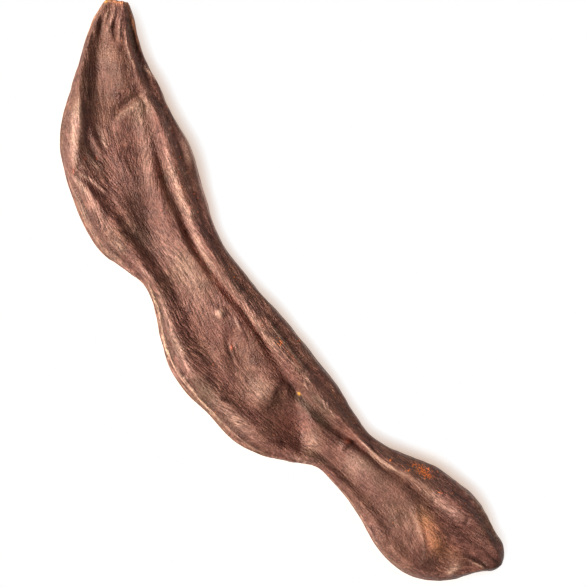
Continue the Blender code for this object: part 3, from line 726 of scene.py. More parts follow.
# Where each tint lies on the upper face, besides the lines above.
SPOTS: dict[Tint, tuple[Form, ...]] = {
    Tint.AMBER: (
        Swell(135.4, -1.3, 4.2, 2, 0.5, -32), Swell(137.4, -2.4, 1.8, 1.3, 0.5, -38),
        Swell(133.2, 0.1, 2.4, 1.2, 0.4, -20), Swell(141, -2.2, 1.8, 1.4, 0.22),
        Swell(0.1, 0, 0.6, 2.6, 1.3),
        Fold((0.2, 2.4, 3, 3.8, 6, 4.9, 9, 5.8, 12, 7), 1, 0.55),
        Fold((0.2, -2.4, 3, -3.7, 6, -4.9, 10, -6.1), 0.8, 0.28),
    ),
    Tint.SAP: (
        Swell(96.1, 3.7, 0.27, 0.23, 1.3), Swell(0.3, -2.4, 0.5, 0.45, 1),
    ),
    Tint.OLIVE: (
        Swell(100.5, 4.8, 4.2, 1.2, 0.75, -14),
        Fold((93, 3.7, 97, 2.9, 102, 2.2, 109, 1.7), 0.8, 0.9, 1),
        Swell(82.4, -9.6, 3.2, 1.8, 0.7, 10), Swell(42.5, 5.5, 5, 0.8, 0.7, -14),
        Fold((2.6, 2.6, 5.2, 3.4, 7.5, 4.1, 10.3, 4.7, 12.6, 5.4), 0.8, 0.35),
        Swell(49, -4.5, 3, 1.2, 0.4), Swell(132, 0.9, 2.2, 0.8, 0.25, -20),
        Swell(107, -4.6, 3, 0.8, 0.5, 8),
    ),
    # Painted shade: in the dents, grooves, valleys and pits, and on slopes that face away from the key light. A
    # few marks, such as the beak's dark tip and small dark spots, are the skin's own colour.
    Tint.DARK_AND_SHADE: (
        Swell(150.4, -0.8, 1.6, 1.6, 0.8), Swell(146, 2.6, 4.5, 3, 0.45, -30),
        Swell(139.5, 1, 3, 1, 0.3, -20), Swell(31, -7.6, 3.2, 1.1, 0.3, 15),
        Swell(18, -5.2, 8, 1.5, 0.5, -3),
        Fold((6, -2.6, 12, -3.3, 18, -3.8, 25, -4.4), 0.3, 0.8),
        Swell(95.8, -2.4, 3.8, 4.4, 0.42, 15),
        Fold((104, 1.6, 110, 1.7, 116, 2, 122, 1.8, 127, 2.6, 132, 2.7), 0.4, 0.8, 0.9),
        Fold((94, 3.4, 98, 2.6, 103, 1.9, 109, 1.5), 0.3, 0.7, 0.8),
        Swell(109.2, 1.2, 0.9, 1.2, 0.12),
        Fold((91.6, 4.6, 93.6, 4.1, 95.4, 3.5), 0.6, 0.3, 0.4),
        Fold((94.6, 7.1, 96, 6.7, 97.6, 6.1), 0.5, 0.18),
        Fold((95.4, 5.8, 96.6, 5.4, 98, 5), 0.45, 0.18),
        Fold((100.2, 5.5, 101.2, 4.9, 102.3, 4.1), 0.6, 0.18),
        Fold((101, 5.8, 101.8, 5.3, 102.8, 4.6), 0.6, 0.13),
        Fold((113.4, 3.05, 116, 2.6, 119, 2.5), 0.4, 0.14),
        Fold((110.7, 1.2, 110.6, 0.5, 110.4, -0.2), 0.7, 0.18),
        Fold((108.4, 1.9, 108.7, 1.1, 109.2, 0.3), 0.5, 0.25),
        Fold((136.6, 1.6, 138.6, 0.4, 139.4, -1.4, 139.3, -3.4, 138.6, -5.2), 0.4, 0.45),
        Swell(138.9, -6.4, 1.2, 0.9, 0.3),
        Fold((78.2, -12.1, 78.1, -11.5, 78.5, -10.9), 0.5, 0.2),
        Swell(69.6, 2.3, 0.4, 0.45, 0.8), Swell(33.4, -10.8, 0.4, 0.35, 0.9),
        Swell(97.1, 3.2, 0.5, 0.4, 0.7), Swell(83.6, 2, 0.5, 0.7, 0.4),
        Fold((62, -8.6, 68, -9.3, 73, -10.3, 79, -11.1), 0.35, 0.5),
        Fold((19.2, 6.4, 20.8, 3.8, 22.3, 1.2, 24, -1.6), 0.4, 0.5, 1.1),
        Swell(44, -1.4, 8, 2.6, 0.52, -18), Swell(51, -3.2, 5, 1.4, 0.3, -4),
        Swell(45, 5.4, 8, 1.1, 0.4, -9), Swell(31.5, -6.4, 5, 1.6, 0.35, 12), Swell(16, 1, 5, 4, 0.15),
        Fold((20, -9.8, 25, -11.5, 30, -12.4, 33, -12.3), 0.5, 0.6, 0.8),
        Swell(141, -2.6, 1.6, 1.6, 0.25),
        Fold((124, 7.8, 130, 8.4, 136, 8.2, 141.4, 6.8), 0.3, 0.9, 1.1),
        Fold((65, 3.8, 69, 4.8, 74, 5.4, 80, 5.6, 88, 4.6, 94, 3.7), 0.35, 0.9, 1),
        Fold((60, -8.2, 67, -8.8, 74, -10, 79, -10.6), 0.3, 0.3),
        Fold((80, -10.8, 86, -10.6, 92, -10.4, 98, -9.6), 0.35, 0.6, 0.5),
        Fold((100, -8.8, 104, -7.6, 107, -6.2), 0.25, 0.8),
        Fold((112, -5.9, 120, -7.2, 128, -9.2, 134, -10.4), 0.25, 0.5),
    ),
    # Painted highlights: on the crests, ridges and slopes that face the key light. A few small pale specks are
    # the skin's own colour.
    Tint.BLOOM: (
        Swell(29.2, -9.9, 2.8, 0.9, 0.55, -12), Swell(24, -8.6, 2.6, 0.8, 0.4, -12),
        Swell(43, -9.2, 5, 0.9, 0.4, 5),
        Fold((18.5, -6.9, 22, -7.3, 26, -7.7, 30, -8.5), 0.7, 0.5),
        Fold((46, 7.2, 52, 6.1, 58, 4.9, 63, 5, 70, 6.4, 78, 7.2, 86, 7.3, 94, 5.8), 0.35, 0.5, 0.6),
        Fold((120, 3.9, 124, 4.8, 128, 5.5, 133, 5.6, 139, 5.2), 0.15, 0.8, 0.9),
        Fold((58, -7.6, 64, -8, 70, -9.2, 76, -9.9, 80, -9.8), 0.45, 0.8),
        Swell(90, -9, 4, 1.4, 0.45, 5),
        Fold((73.2, 3.9, 75, 3.75, 77, 3.5), 0.9, 0.18),
        Swell(29.4, 10.5, 0.28, 0.22, 1.3), Swell(31, 9.9, 0.22, 0.2, 1.2), Swell(34, 10.9, 0.25, 0.2, 1),
        Swell(40.4, 10.4, 0.28, 0.2, 1.3, 20), Swell(41.7, 10.6, 0.25, 0.2, 1.2),
        Swell(39.7, 9.8, 0.2, 0.2, 1), Swell(45.6, 9.9, 0.3, 0.22, 1.3, -20), Swell(50.8, 8, 0.25, 0.2, 1),
        Fold((33, -12.3, 37, -10.2, 41, -9), 0.7, 0.35),
        Fold((24.5, -4.4, 28, -3.9, 31.5, -3.2), 1, 0.45),
        Fold((28.5, -8.2, 32, -6.8, 35.4, -5), 0.9, 0.35),
        Swell(48.4, -9.2, 1.8, 0.6, 0.5, 20), Swell(55, -7.6, 1.8, 0.5, 0.6, 10),
        Swell(71.3, 1.8, 0.8, 0.8, 1.2), Swell(24.2, 5.2, 3.2, 1.3, 0.6, -20),
        Swell(29, 5.6, 6, 1.6, 0.3, -8), Swell(37, 3.4, 5, 1, 0.3, -14),
        Fold((21.6, 5.6, 22.8, 3.4, 23.8, 1.2, 25, -1.2), 0.6, 0.8, 0.35),
        Swell(41, 7.9, 11, 0.9, 0.7, -8), Swell(57, 5, 8, 0.5, 0.5, -12), Swell(79, 7.3, 9, 0.5, 0.3),
        Fold((70, 8.6, 75, 9.4, 80, 9.6, 84, 9.6, 88, 9.4, 93, 8.4, 96, 7.3), 1.1, 0.2),
        Fold((80, 8.7, 86, 8.6, 92, 7.9, 98, 6.8), 0.8, 0.2),
        Fold((86, 9.9, 91, 9.3, 96, 8.2), 0.6, 0.18),
        Fold((109.5, 4.1, 113, 3.8, 116, 3.4, 119, 3.4, 122, 4, 127, 5.2), 1.3, 0.34, 0.3),
        Swell(114.5, 0.4, 3.4, 1.1, 0.4),
        Fold((78.7, -12.2, 78.5, -11.6, 78.9, -11), 1.5, 0.2),
        Fold(beside(INNER_SEAM, -0.72), 0.5, 0.2),
        Fold((129, 0.2, 133, -2, 136, -5, 137, -9), 0.5, 0.3),
        Swell(137.2, 4.6, 2.6, 1.2, 0.3),
        Fold((29.5, 11.7, 33.5, 12.3, 37, 12.3, 41, 12.2), 0.8, 0.6),
        Fold((42, 12.3, 47, 11.6, 52, 10.5, 57, 9.1), 0.6, 0.6),
        Fold((126, 9.5, 130, 10.1, 134, 10.1, 138.5, 9.5, 141, 8.8, 143.6, 7.9), 0.6, 0.25, 0.3),
        Swell(25.5, -9.2, 5.5, 1, 0.35, -15), Swell(134, 5.1, 6, 1, 0.35), Swell(89, -1, 2.6, 2.2, 0.3),
        Swell(60, -0.5, 8, 2.5, 0.45), Swell(118, -1, 8, 2.6, 0.3), Swell(114.5, -0.8, 2.2, 1.9, 0.3),
        Swell(129, -3.4, 5, 4, 0.15), Swell(105.4, -6.9, 2.4, 0.5, 0.8, 15),
        Swell(4.2, -0.4, 2.6, 0.5, 0.5, -8), Swell(5, 1.5, 2.4, 0.5, 0.5, 5),
        Swell(11.5, -1, 2.4, 1.6, 0.2),
        Fold((12.8, 5.6, 14.9, 7.2, 16.7, 8.5, 18.7, 9.7, 21, 10.4), 1.2, 0.3),
        Swell(74, -9, 5, 0.6, 0.4, -6), Swell(104, -2.4, 2.4, 1.6, 0.3, -30),
    ),
    Tint.RUST: (
        # The first three are reddish painted shade: beside the pale ridge at the stalk end and in the grooves
        # under the outer crest. The rest is the skin's own red.
        Fold((5.8, 3, 8.9, 3.7, 10.3, 3.95, 12.6, 4.7, 14.2, 5.5), 0.6, 0.2),
        Fold((50, 5, 56, 3.7, 61, 3.2, 66, 4.1, 72, 5.4, 80, 5.8, 88, 4.7, 94, 3.8), 0.2, 0.8),
        Fold((34, 6.2, 39, 5.6, 44, 5, 50, 4.2), 0.2, 0.8),
        Fold((26, 8.3, 32, 8.9, 40, 9.1, 47, 8.1, 53, 6.9), 0.3, 0.25),
        Fold((75, 9.1, 80, 9.4, 84.5, 9.1), 0.4, 0.2),
        Fold((83.5, 9.2, 88, 8.8, 92, 8.1, 97, 6.9), 0.4, 0.2),
        Fold((109.5, 4.9, 111.5, 4.8, 113.6, 4.7), 0.7, 0.16),
        Swell(78.7, 0, 0.5, 0.22, 1.2, -40), Swell(110.1, 2.1, 0.5, 0.45, 0.9),
        Swell(33, -11.3, 0.35, 0.25, 0.6), Swell(31.9, -6.1, 0.3, 0.25, 1.2),
        Swell(31.3, -8.2, 0.25, 0.2, 1), Swell(97, -3.4, 3, 2.6, 0.15, 20),
    ),
    Tint.LENTICEL: (
        Swell(38, 10.2, 16, 1, 0.3, -3), Swell(66, 7.8, 3, 0.6, 0.35, 10),
        Swell(84.6, 8.9, 0.9, 0.5, 1.7, -30), Swell(87.5, 12, 0.9, 0.4, 1.7),
        Swell(88, 9.2, 5, 0.8, 0.3, -10), Swell(104, 7.6, 6, 1, 0.25, -14),
        Swell(126.4, 7.7, 2.1, 0.9, 1.5, 5), Swell(123.6, 6.7, 3.6, 1.6, 0.7, 25),
        Swell(131.6, 6.8, 0.9, 0.4, 0.8, 25), Swell(136, 8.6, 4, 1.2, 0.3, -12),
    ),
    # Pale rims at the beak: the skin's own pale edge with a painted highlight on it.
    Tint.CREAM_AND_HIGHLIGHT: (
        Fold((148.2, -3.4, 149.2, -2.8, 150.2, -2.6), 0.6, 0.2),
        Fold((138, 9.7, 141, 9, 143.5, 8, 146, 6.4, 148.5, 4.3, 150.2, 2.9), 0.6, 0.4, 0.35),
    ),
}

# Lines of colour that follow the margins: a painted rim light near the outer edge, which faces away from the
# key light, and on the inner margin a pale line along a cord, partly its own colour and partly painted
# highlight, with painted shade in the grooves beside it.
OUTER_BANDS: dict[Tint, tuple[Cord, ...]] = {
    Tint.BLOOM: (Cord(22, 9, (
        (0, 0), (18, 0.2), (28, 0.9), (48, 0.9), (60, 0.5), (75, 0.5), (110, 0.3), (151.8, 0.1),
    )),),
}
INNER_BANDS: dict[Tint, tuple[Cord, ...]] = {
    Tint.CREAM_AND_HIGHLIGHT: (Cord(35, 4, (
        (0, 0), (28, 0.2), (36, 0.4), (50, 0.5), (56, 0.2), (96, 0.2), (101, 0.4), (151.8, 0.1),
    )),),
    Tint.DARK_AND_SHADE: (
        Cord(52, 8, ((0, 0), (28, 0.1), (52, 0.3), (60, 0.3), (76, 0.35), (98, 0.3), (104, 0.2), (151.8, 0.1))),
        Cord(14, 6, ((0, 0), (40, 0.1), (60, 0.2), (98, 0.2), (104, 0), (151.8, 0))),
    ),
}


@dataclass
class Colouring:
    """How much of each tint the skin has, point by point."""

    # The tan of the worn seams: along, and its share at each margin.
    outer_tan: tuple[Row, ...] = (
        (0, 1), (4, 0.9), (12, 0.5), (22, 0.35), (34, 0.15), (100, 0.1), (118, 0.35), (130, 0.45), (140, 0.5),
        (148, 0.5), (150, 0.1), (151.8, 0),
    )
    inner_tan: tuple[Row, ...] = (
        (0, 1), (5, 0.9), (14, 0.5), (30, 0.45), (50, 0.4), (57, 0.7), (64, 1), (98, 1), (104, 0.5), (112, 0.3),
        (132, 0.5), (145, 0.4), (149, 0.1), (151.8, 0),
    )
    tan_turn: float = 15.0  # how far round a margin the tan is full, in degrees
    tan_fade: float = 20.0  # and over how many more it fades
    tan_below: float = 0.6  # its share on the underside

    def tan(self, form: dict[str, np.ndarray]) -> np.ndarray:
        """Finds how tan the skin is round the margins.

        Args:
            form: The skin's points, as `CarobPod.shape` gives them.

        Returns:
            The tan's share at each point.
        """
        along = form["along"]
        share = np.where(form["across"] > 0, through(self.outer_tan, along), through(self.inner_tan, along))
        return share * (1 - ease((form["turn"] - self.tan_turn) / self.tan_fade))

    def share(self, tint: Tint, form: dict[str, np.ndarray]) -> np.ndarray:
        """Works out a tint's share.

        Args:
            tint: The tint.
            form: The skin's points, as `CarobPod.shape` gives them.

        Returns:
            The share at each point.
        """
        if tint is Tint.TAN:
            return self.tan(form) * (self.tan_below + (1 - self.tan_below) * form["on_top"])
        spots = relief((*layer_of_lines(tint.value), *SPOTS[tint]), form["along"], form["across"])
        bands = along_margins(OUTER_BANDS.get(tint, ()), INNER_BANDS.get(tint, ()), form)
        return (spots + bands) * form["on_top"]


def linear(code: str) -> tuple[float, float, float, float]:
    """Turns an sRGB hex colour into linear red, green, blue and a full alpha.

    Args:
        code: The colour, such as "#6c493e".

    Returns:
        The four numbers that a shader's colour socket takes.
    """
    shares = [int(code[start:start + 2], 16) / 255 for start in (1, 3, 5)]
    straight = [share / 12.92 if share <= 0.04045 else ((share + 0.055) / 1.055) ** 2.4 for share in shares]
    return (*straight, 1.0)


def add_node(
    tree: bpy.types.NodeTree,
    kind: str,
    settings: dict[str, object],
    inputs: dict[str | int, object] | Sequence[object],
) -> bpy.types.Node:
    """Adds a node to a tree, with its settings and its links.

    Args:
        tree: The material's or the world's tree.
        kind: The node's type, without its "ShaderNode" prefix.
        settings: The node's own properties.
        inputs: For each input, by name, by number or in their order, an output to link or a value to set.

    Returns:
        The new node.
    """
    node = tree.nodes.new("ShaderNode" + kind)
    for name, value in settings.items():
        setattr(node, name, value)
    for name, value in inputs.items() if isinstance(inputs, dict) else enumerate(inputs):
        if isinstance(value, bpy.types.NodeSocket):
            tree.links.new(value, node.inputs[name])
        else:
            node.inputs[name].default_value = value
    return node


# Settings that several nodes share.
TIMES = {"operation": "MULTIPLY"}
HELD_TIMES = {"operation": "MULTIPLY", "use_clamp": True}  # the product is held within 0 and 1
TIMES_PLUS = {"operation": "MULTIPLY_ADD"}
MINUS = {"operation": "SUBTRACT"}
COLOURS = {"data_type": "RGBA"}


@dataclass(frozen=True)
class DriedHusk:
    """Dried carob husk: leathery plant skin, shrunk in drying and lightly polished by handling.

    It gives the eye a deep red-brown with a satin gloss, silky fibres that break up the highlights, tan along
    the seams, and rust-orange lenticels, which are the skin's breathing pores. Its tints also paint light and
    shade into the colour: grey-pink highlights on what faces the key light, and dark shade in the creases.
    Widths, lengths and heights are in millimetres.
    """

    deep: str = "#52312b"
    skin: str = "#744c40"
    fibre: str = "#8d6456"
    lenticel: str = "#d9713a"
    gloss: str = "#edc9b4"  # the warm cast of the skin's reflections
    # The tints, in the order that they lie over each other; among them are painted shade and painted
    # highlights.
    tints: tuple[tuple[Tint, str], ...] = (
        (Tint.OLIVE, "#5c4d3e"), (Tint.BLOOM, "#b78f7d"), (Tint.RUST, "#a8533a"), (Tint.TAN, "#6e442b"),
        (Tint.AMBER, "#c2815c"), (Tint.DARK_AND_SHADE, "#2c1b17"), (Tint.CREAM_AND_HIGHLIGHT, "#b8917a"), (Tint.SAP, "#eda53a"),
    )
    ior: float = 1.45
    fibre_length: float = 2.4
    fibre_width: float = 0.34  # the finest that the render shows; the real ones are finer
    fibre_lean: float = 24.0  # degrees
    fibre_height: float = 0.3
    waver: float = 1.6  # by how much the fibres waver
    waver_length: float = 8.0
    grain_width: float = 0.36
    grain_height: float = 0.16
    mottle_width: float = 2.6
    soft: float = 1.0  # how many finer layers the waver and the grain have
    rough: float = 2.0  # the same for the fibres, the flakes and the hue
    mottled: float = 4.0  # the same for the mottling
    harshness: float = 0.6  # how strong those layers are in the fibres and in the mottling
    middle: float = 0.5  # the patterns' middle height
    hue_width: float = 7.0
    redder: tuple[float, float, float, float] = (1.05, 0.98, 0.98, 1.0)
    browner: tuple[float, float, float, float] = (0.98, 1.0, 0.91, 1.0)
    pore_spacing: float = 0.8
    flake_width: float = 0.38
    flake_pull: float = 0.2  # how much the lenticels' share helps the flakes among them

    patches: Ramp = (0.35, 0.65)  # mottling to the share of the lighter skin
    threads: Ramp = (0.5, 0.75, 0.0, 0.6)  # fibres to the share of their own colour
    broken: Ramp = (0.3, 0.65, 0.45, 1.15)  # fibres to what they let through of the tints
    streaks: Ramp = (0.34, 0.68, 0.62, 1.34)  # fibres to brightness
    grit: Ramp = (0.3, 0.7, 0.74, 1.26)  # grain to brightness
    hues: Ramp = (0.38, 0.62)  # the slow pattern to how far the hue has turned
    polish: Ramp = (0.3, 0.7, 0.4, 0.58)  # mottling to roughness
    pore_radius: Ramp = (0.0, 1.0, 0.14, 0.36)  # a pore's lot to its radius in pore spacings
    pore_edge: Ramp = (0.0, 0.1)
    flakes: Ramp = (0.74, 0.78)

    def fibres(self, tree: bpy.types.NodeTree, place: bpy.types.NodeSocket) -> bpy.types.NodeSocket:
        """Makes the fibre pattern, which leans as the mesh says and shows as strongly as it says.

        Args:
            tree: The material's tree.
            place: The place on the pod in millimetres, drawn out straight.

        Returns:
            The pattern's height, about `middle`.
        """
        lean = add_node(tree, "Attribute", {"attribute_name": "lean"}, {}).outputs["Fac"]
        vivid = add_node(tree, "Attribute", {"attribute_name": "vivid"}, {}).outputs["Fac"]
        patterns = []
        for degrees in (0.0, -self.fibre_lean, self.fibre_lean):
            mapping = add_node(tree, "Mapping", {"vector_type": "TEXTURE"}, {
                "Vector": place,
                "Rotation": (0.0, 0.0, math.radians(degrees)),
                "Scale": (self.fibre_length, self.fibre_width, self.fibre_width),
            })
            pattern = add_node(tree, "TexNoise", {}, {
                "Vector": mapping.outputs["Vector"], "Scale": 1.0,
                "Detail": self.rough, "Roughness": self.harshness,
            })
            patterns.append(pattern.outputs["Fac"])
        height, falling, rising = patterns
        for pattern, sign in ((falling, -1.0), (rising, 1.0)):
            share = add_node(tree, "Math", HELD_TIMES, (lean, sign)).outputs[0]
            height = add_node(tree, "Mix", {"data_type": "FLOAT"}, {0: share, 2: height, 3: pattern}).outputs[0]
        centred = add_node(tree, "Math", MINUS, (height, self.middle)).outputs[0]
        return add_node(tree, "Math", TIMES_PLUS, (centred, vivid, self.middle)).outputs[0]

    def pores(self, tree: bpy.types.NodeTree, place: bpy.types.NodeSocket) -> bpy.types.NodeSocket:
        """Makes the lenticels: small dots, in cells that are on where the mesh's share says so, and flakes.

        Args:
            tree: The material's tree.
            place: The place on the pod in millimetres, drawn out straight.

        Returns:
            1 in a dot and 0 outside it.
        """
        cells = add_node(tree, "TexVoronoi", {}, {"Vector": place, "Scale": 1 / self.pore_spacing})
        lots = add_node(tree, "SeparateColor", {}, (cells.outputs["Color"],))
        density = add_node(tree, "Attribute", {"attribute_name": Tint.LENTICEL.value}, {}).outputs["Fac"]
        on = add_node(tree, "Math", {"operation": "LESS_THAN"}, (lots.outputs[0], density)).outputs[0]
        radius = add_node(tree, "MapRange", {}, (lots.outputs[1], *self.pore_radius)).outputs[0]
        inside = add_node(tree, "Math", MINUS, (radius, cells.outputs["Distance"])).outputs[0]
        dot = add_node(tree, "MapRange", {}, (inside, *self.pore_edge)).outputs[0]
        lone = add_node(tree, "Math", TIMES, (dot, on)).outputs[0]
        chips = add_node(tree, "TexNoise", {}, {
            "Vector": place, "Scale": 1 / self.flake_width, "Detail": self.rough,
        }).outputs["Fac"]
        crowd = add_node(tree, "Math", TIMES_PLUS, (density, self.flake_pull, chips)).outputs[0]
        flake = add_node(tree, "MapRange", {}, (crowd, *self.flakes)).outputs[0]
        return add_node(tree, "Math", {"operation": "MAXIMUM"}, (lone, flake)).outputs[0]

    def make(self) -> bpy.types.Material:
        """Builds the material.

        Returns:
            The husk's material.
        """
        material = bpy.data.materials.new("dried_carob_husk")
        material.use_nodes = True
        tree = material.node_tree
        shader = tree.nodes["Principled BSDF"]
        grown = add_node(tree, "Attribute", {"attribute_name": "grown"}, {}).outputs["Vector"]
        drift, grain, slow = (
            add_node(tree, "TexNoise", {}, {"Vector": grown, "Scale": 1 / width, "Detail": layers}).outputs
            for width, layers in (
                (self.waver_length, self.soft), (self.grain_width, self.soft), (self.hue_width, self.rough),
            )
        )
        centred = add_node(tree, "VectorMath", MINUS, (drift["Color"], (self.middle,) * 3))
        wavered = add_node(tree, "VectorMath", TIMES_PLUS, (
            centred.outputs[0], (self.waver,) * 3, grown,
        )).outputs[0]
        fine = self.fibres(tree, wavered)
        mottle = add_node(tree, "TexNoise", {}, {
            "Vector": wavered, "Scale": 1 / self.mottle_width,
            "Detail": self.mottled, "Roughness": self.harshness,
        }).outputs["Fac"]

        patches, threads, broken, streaks, grit, hues, polish = (
            add_node(tree, "MapRange", {}, (pattern, *ramp)).outputs[0] for pattern, ramp in (
                (mottle, self.patches), (fine, self.threads), (fine, self.broken), (fine, self.streaks),
                (grain["Fac"], self.grit), (slow["Fac"], self.hues), (mottle, self.polish),
            )
        )
        coats = [(patches, self.skin), (threads, self.fibre)]
        for tint, code in self.tints:
            share = add_node(tree, "Attribute", {"attribute_name": tint.value}, {}).outputs["Fac"]
            held = add_node(tree, "Math", HELD_TIMES, (share, broken)).outputs[0]
            coats.append((held, code))
        coats.append((self.pores(tree, grown), self.lenticel))
        colour = linear(self.deep)
        for share, code in coats:
            coat = add_node(tree, "Mix", COLOURS, {0: share, 6: colour, 7: linear(code)})
            colour = coat.outputs[2]
        worn = add_node(tree, "Math", TIMES, (streaks, grit)).outputs[0]
        colour = add_node(tree, "VectorMath", {"operation": "SCALE"}, {0: colour, "Scale": worn}).outputs[0]
        hue = add_node(tree, "Mix", COLOURS, {0: hues, 6: self.redder, 7: self.browner}).outputs[2]
        colour = add_node(tree, "VectorMath", TIMES, (colour, hue)).outputs[0]
        tree.links.new(colour, shader.inputs["Base Color"])

        tree.links.new(polish, shader.inputs["Roughness"])
        shader.inputs["IOR"].default_value = self.ior
        shader.inputs["Specular Tint"].default_value = linear(self.gloss)

        coarse = add_node(tree, "Bump", {}, {"Height": fine, "Distance": self.fibre_height * MM})
        pitted = add_node(tree, "Bump", {}, {
            "Height": grain["Fac"], "Distance": self.grain_height * MM, "Normal": coarse.outputs[0],
        })
        tree.links.new(pitted.outputs[0], shader.inputs["Normal"])
        return material


@dataclass
class CarobPod:
    """The whole pod: one closed skin."""

    plan: Plan = field(default_factory=Plan)
    upper: UpperFace = field(default_factory=UpperFace)
    under: UnderFace = field(default_factory=UnderFace)
    wrinkles: Wrinkles = field(default_factory=Wrinkles)
    fibres: Lie = field(default_factory=Lie)
    colouring: Colouring = field(default_factory=Colouring)
    husk: DriedHusk = field(default_factory=DriedHusk)
    body_rows: int = 455
    beak_rows: int = 12
    scar_rings: tuple[Row, ...] = ((0.35, 0.0), (0.3, 0.3), (0.22, 0.62), (0.06, 0.9), (0.0, 0.95))
    scar_chamfer: float = 0.3
    beak_length: float = 1.9
    seam_depth: float = 0.35
    seam_turn: float = 9.0  # the seam's half-width, in degrees round the margin
    least_area: float = 1e-9  # keeps a closed ring's normal from dividing by nothing

    def row_plan(self) -> np.ndarray:
        """Lays out the rows: the scar's dish, the body, then the closing beak.

        Returns:
            Each row's place along and its scale.
        """
        body_end = self.plan.length - self.beak_length
        rows = [*self.scar_rings]
        rows += [(place, 1.0) for place in np.linspace(self.scar_chamfer, body_end, self.body_rows)]
        for turn in np.linspace(0, math.pi / 2, self.beak_rows + 1)[1:]:
            rows.append((body_end + self.beak_length * math.sin(turn), math.cos(turn)))
        return np.array(rows)

    def round_trip(self, upper: np.ndarray, under: np.ndarray) -> np.ndarray:
        """Joins the upper face's columns and the underside's into closed rings."""
        return np.concatenate([upper, under[:, -2:0:-1]], axis=1)

    def shape(self) -> dict[str, np.ndarray]:
        """Works out every point of the skin.

        Returns:
            The points, and for each one its place along and across, its turn round the margin, its height off
            the mid-plane, whether it is on the upper face, and its row's scale, all as rows of columns.
        """
        rows = self.row_plan()
        along, scale = rows[:, 0], rows[:, 1][:, None]
        outer, inner = through(self.plan.outline, along, 1), through(self.plan.outline, along, 2)
        thickness, mid, roll = (through(self.plan.lie, along, column) for column in (1, 2, 3))
        above = self.upper.grid(along, outer, inner, thickness / 2)
        below = self.under.grid(along, outer, inner, thickness / 2)
        across = self.round_trip(above.across, below.across)
        turn = self.round_trip(above.turn, below.turn)
        on_top = np.zeros_like(across)
        on_top[:, : above.across.shape[1]] = 1.0
        seam = self.seam_depth * np.exp(-((turn / self.seam_turn) ** 2)) * np.sign(across)
        height = mid[:, None] + roll[:, None] * across + self.round_trip(above.height, -below.height)
        centres, normals = self.plan.midline_at(along)
        points = np.empty((*across.shape, 3))
        points[..., :2] = centres[:, None] + (scale * (across - seam))[..., None] * normals[:, None]
        points[..., 2] = mid[:, None] + scale * (height - mid[:, None])
        return {
            "points": points,
            "along": np.broadcast_to(along[:, None], across.shape),
            "across": across,
            "turn": turn,
            "height": height - mid[:, None],
            "on_top": on_top,
            "scale": np.broadcast_to(scale, across.shape),
        }

    def skin_normals(self, points: np.ndarray) -> np.ndarray:
        """Finds the outward normals.

        Args:
            points: The rings' points.

        Returns:
            The unit normal at each point.
        """
        down = np.gradient(points, axis=0)
        round_ring = np.roll(points, -1, axis=1) - np.roll(points, 1, axis=1)
        normal = np.cross(round_ring, down)
        return normal / np.maximum(np.linalg.norm(normal, axis=2, keepdims=True), self.least_area)

    def streaks(self, form: dict[str, np.ndarray], lean: np.ndarray, length: float, width: float) -> np.ndarray:
        """Makes long, thin undulations that lie the way of the fibres.

        Args:
            form: What `shape` returned.
            lean: The fibres' lean at each point.
            length: The undulations' length.
            width: Their width.

        Returns:
            Heights from about -1 to 1.
        """
        flat = [form[name].ravel() for name in ("along", "across", "height")]
        weights = (1 - np.abs(lean), np.clip(-lean, 0, 1), np.clip(lean, 0, 1))
        total = np.zeros(lean.size)
        for weight, degrees in zip(weights, (0.0, -self.husk.fibre_lean, self.husk.fibre_lean)):
            cos, sin = math.cos(math.radians(degrees)), math.sin(math.radians(degrees))
            u = (flat[0] * cos + flat[1] * sin) / length
            v = (flat[1] * cos - flat[0] * sin) / width
            w = flat[2] / width
            share = weight.ravel()
            for index in np.flatnonzero(share > 0):
                total[index] += share[index] * noise.noise((u[index], v[index], w[index]))
        return total.reshape(lean.shape)

    def lift(self, form: dict[str, np.ndarray]) -> np.ndarray:
        """Works out how far the lines raise each point of the upper face.

        Args:
            form: What `shape` returned.

        Returns:
            The heights.
        """
        forms = (*layer_of_lines("relief"), *self.wrinkles.forms)
        height = relief(forms, form["along"], form["across"]) * ease(form["turn"] / self.wrinkles.full_turn)
        return height * form["on_top"] * form["scale"]

    def ruffle(self, form: dict[str, np.ndarray], lean: np.ndarray) -> np.ndarray:
        """Works out how far the margins' cords, the fine streaks and the slow ripples push each point out.

        Args:
            form: What `shape` returned.
            lean: The fibres' lean at each point.

        Returns:
            The distances along the normals.
        """
        fine = self.streaks(form, lean, self.wrinkles.streak_length, self.wrinkles.streak_width)
        slow = self.streaks(form, lean, self.wrinkles.ripple_length, self.wrinkles.ripple_width)
        cords = along_margins(self.wrinkles.outer_cords, self.wrinkles.inner_cords, form) * form["on_top"]
        return (cords + self.wrinkles.streak_height * fine + self.wrinkles.ripple_height * slow) * form["scale"]

    def settle(self, points: np.ndarray) -> np.ndarray:
        """Stands the points on the table, with the middle of their box over the origin.

        Args:
            points: The rings' points, which it moves.

        Returns:
            The same points.
        """
        points[..., 2] = np.maximum(points[..., 2], 0)
        middle = (points.min(axis=(0, 1)) + points.max(axis=(0, 1))) / 2
        points[..., :2] -= middle[:2]
        return points

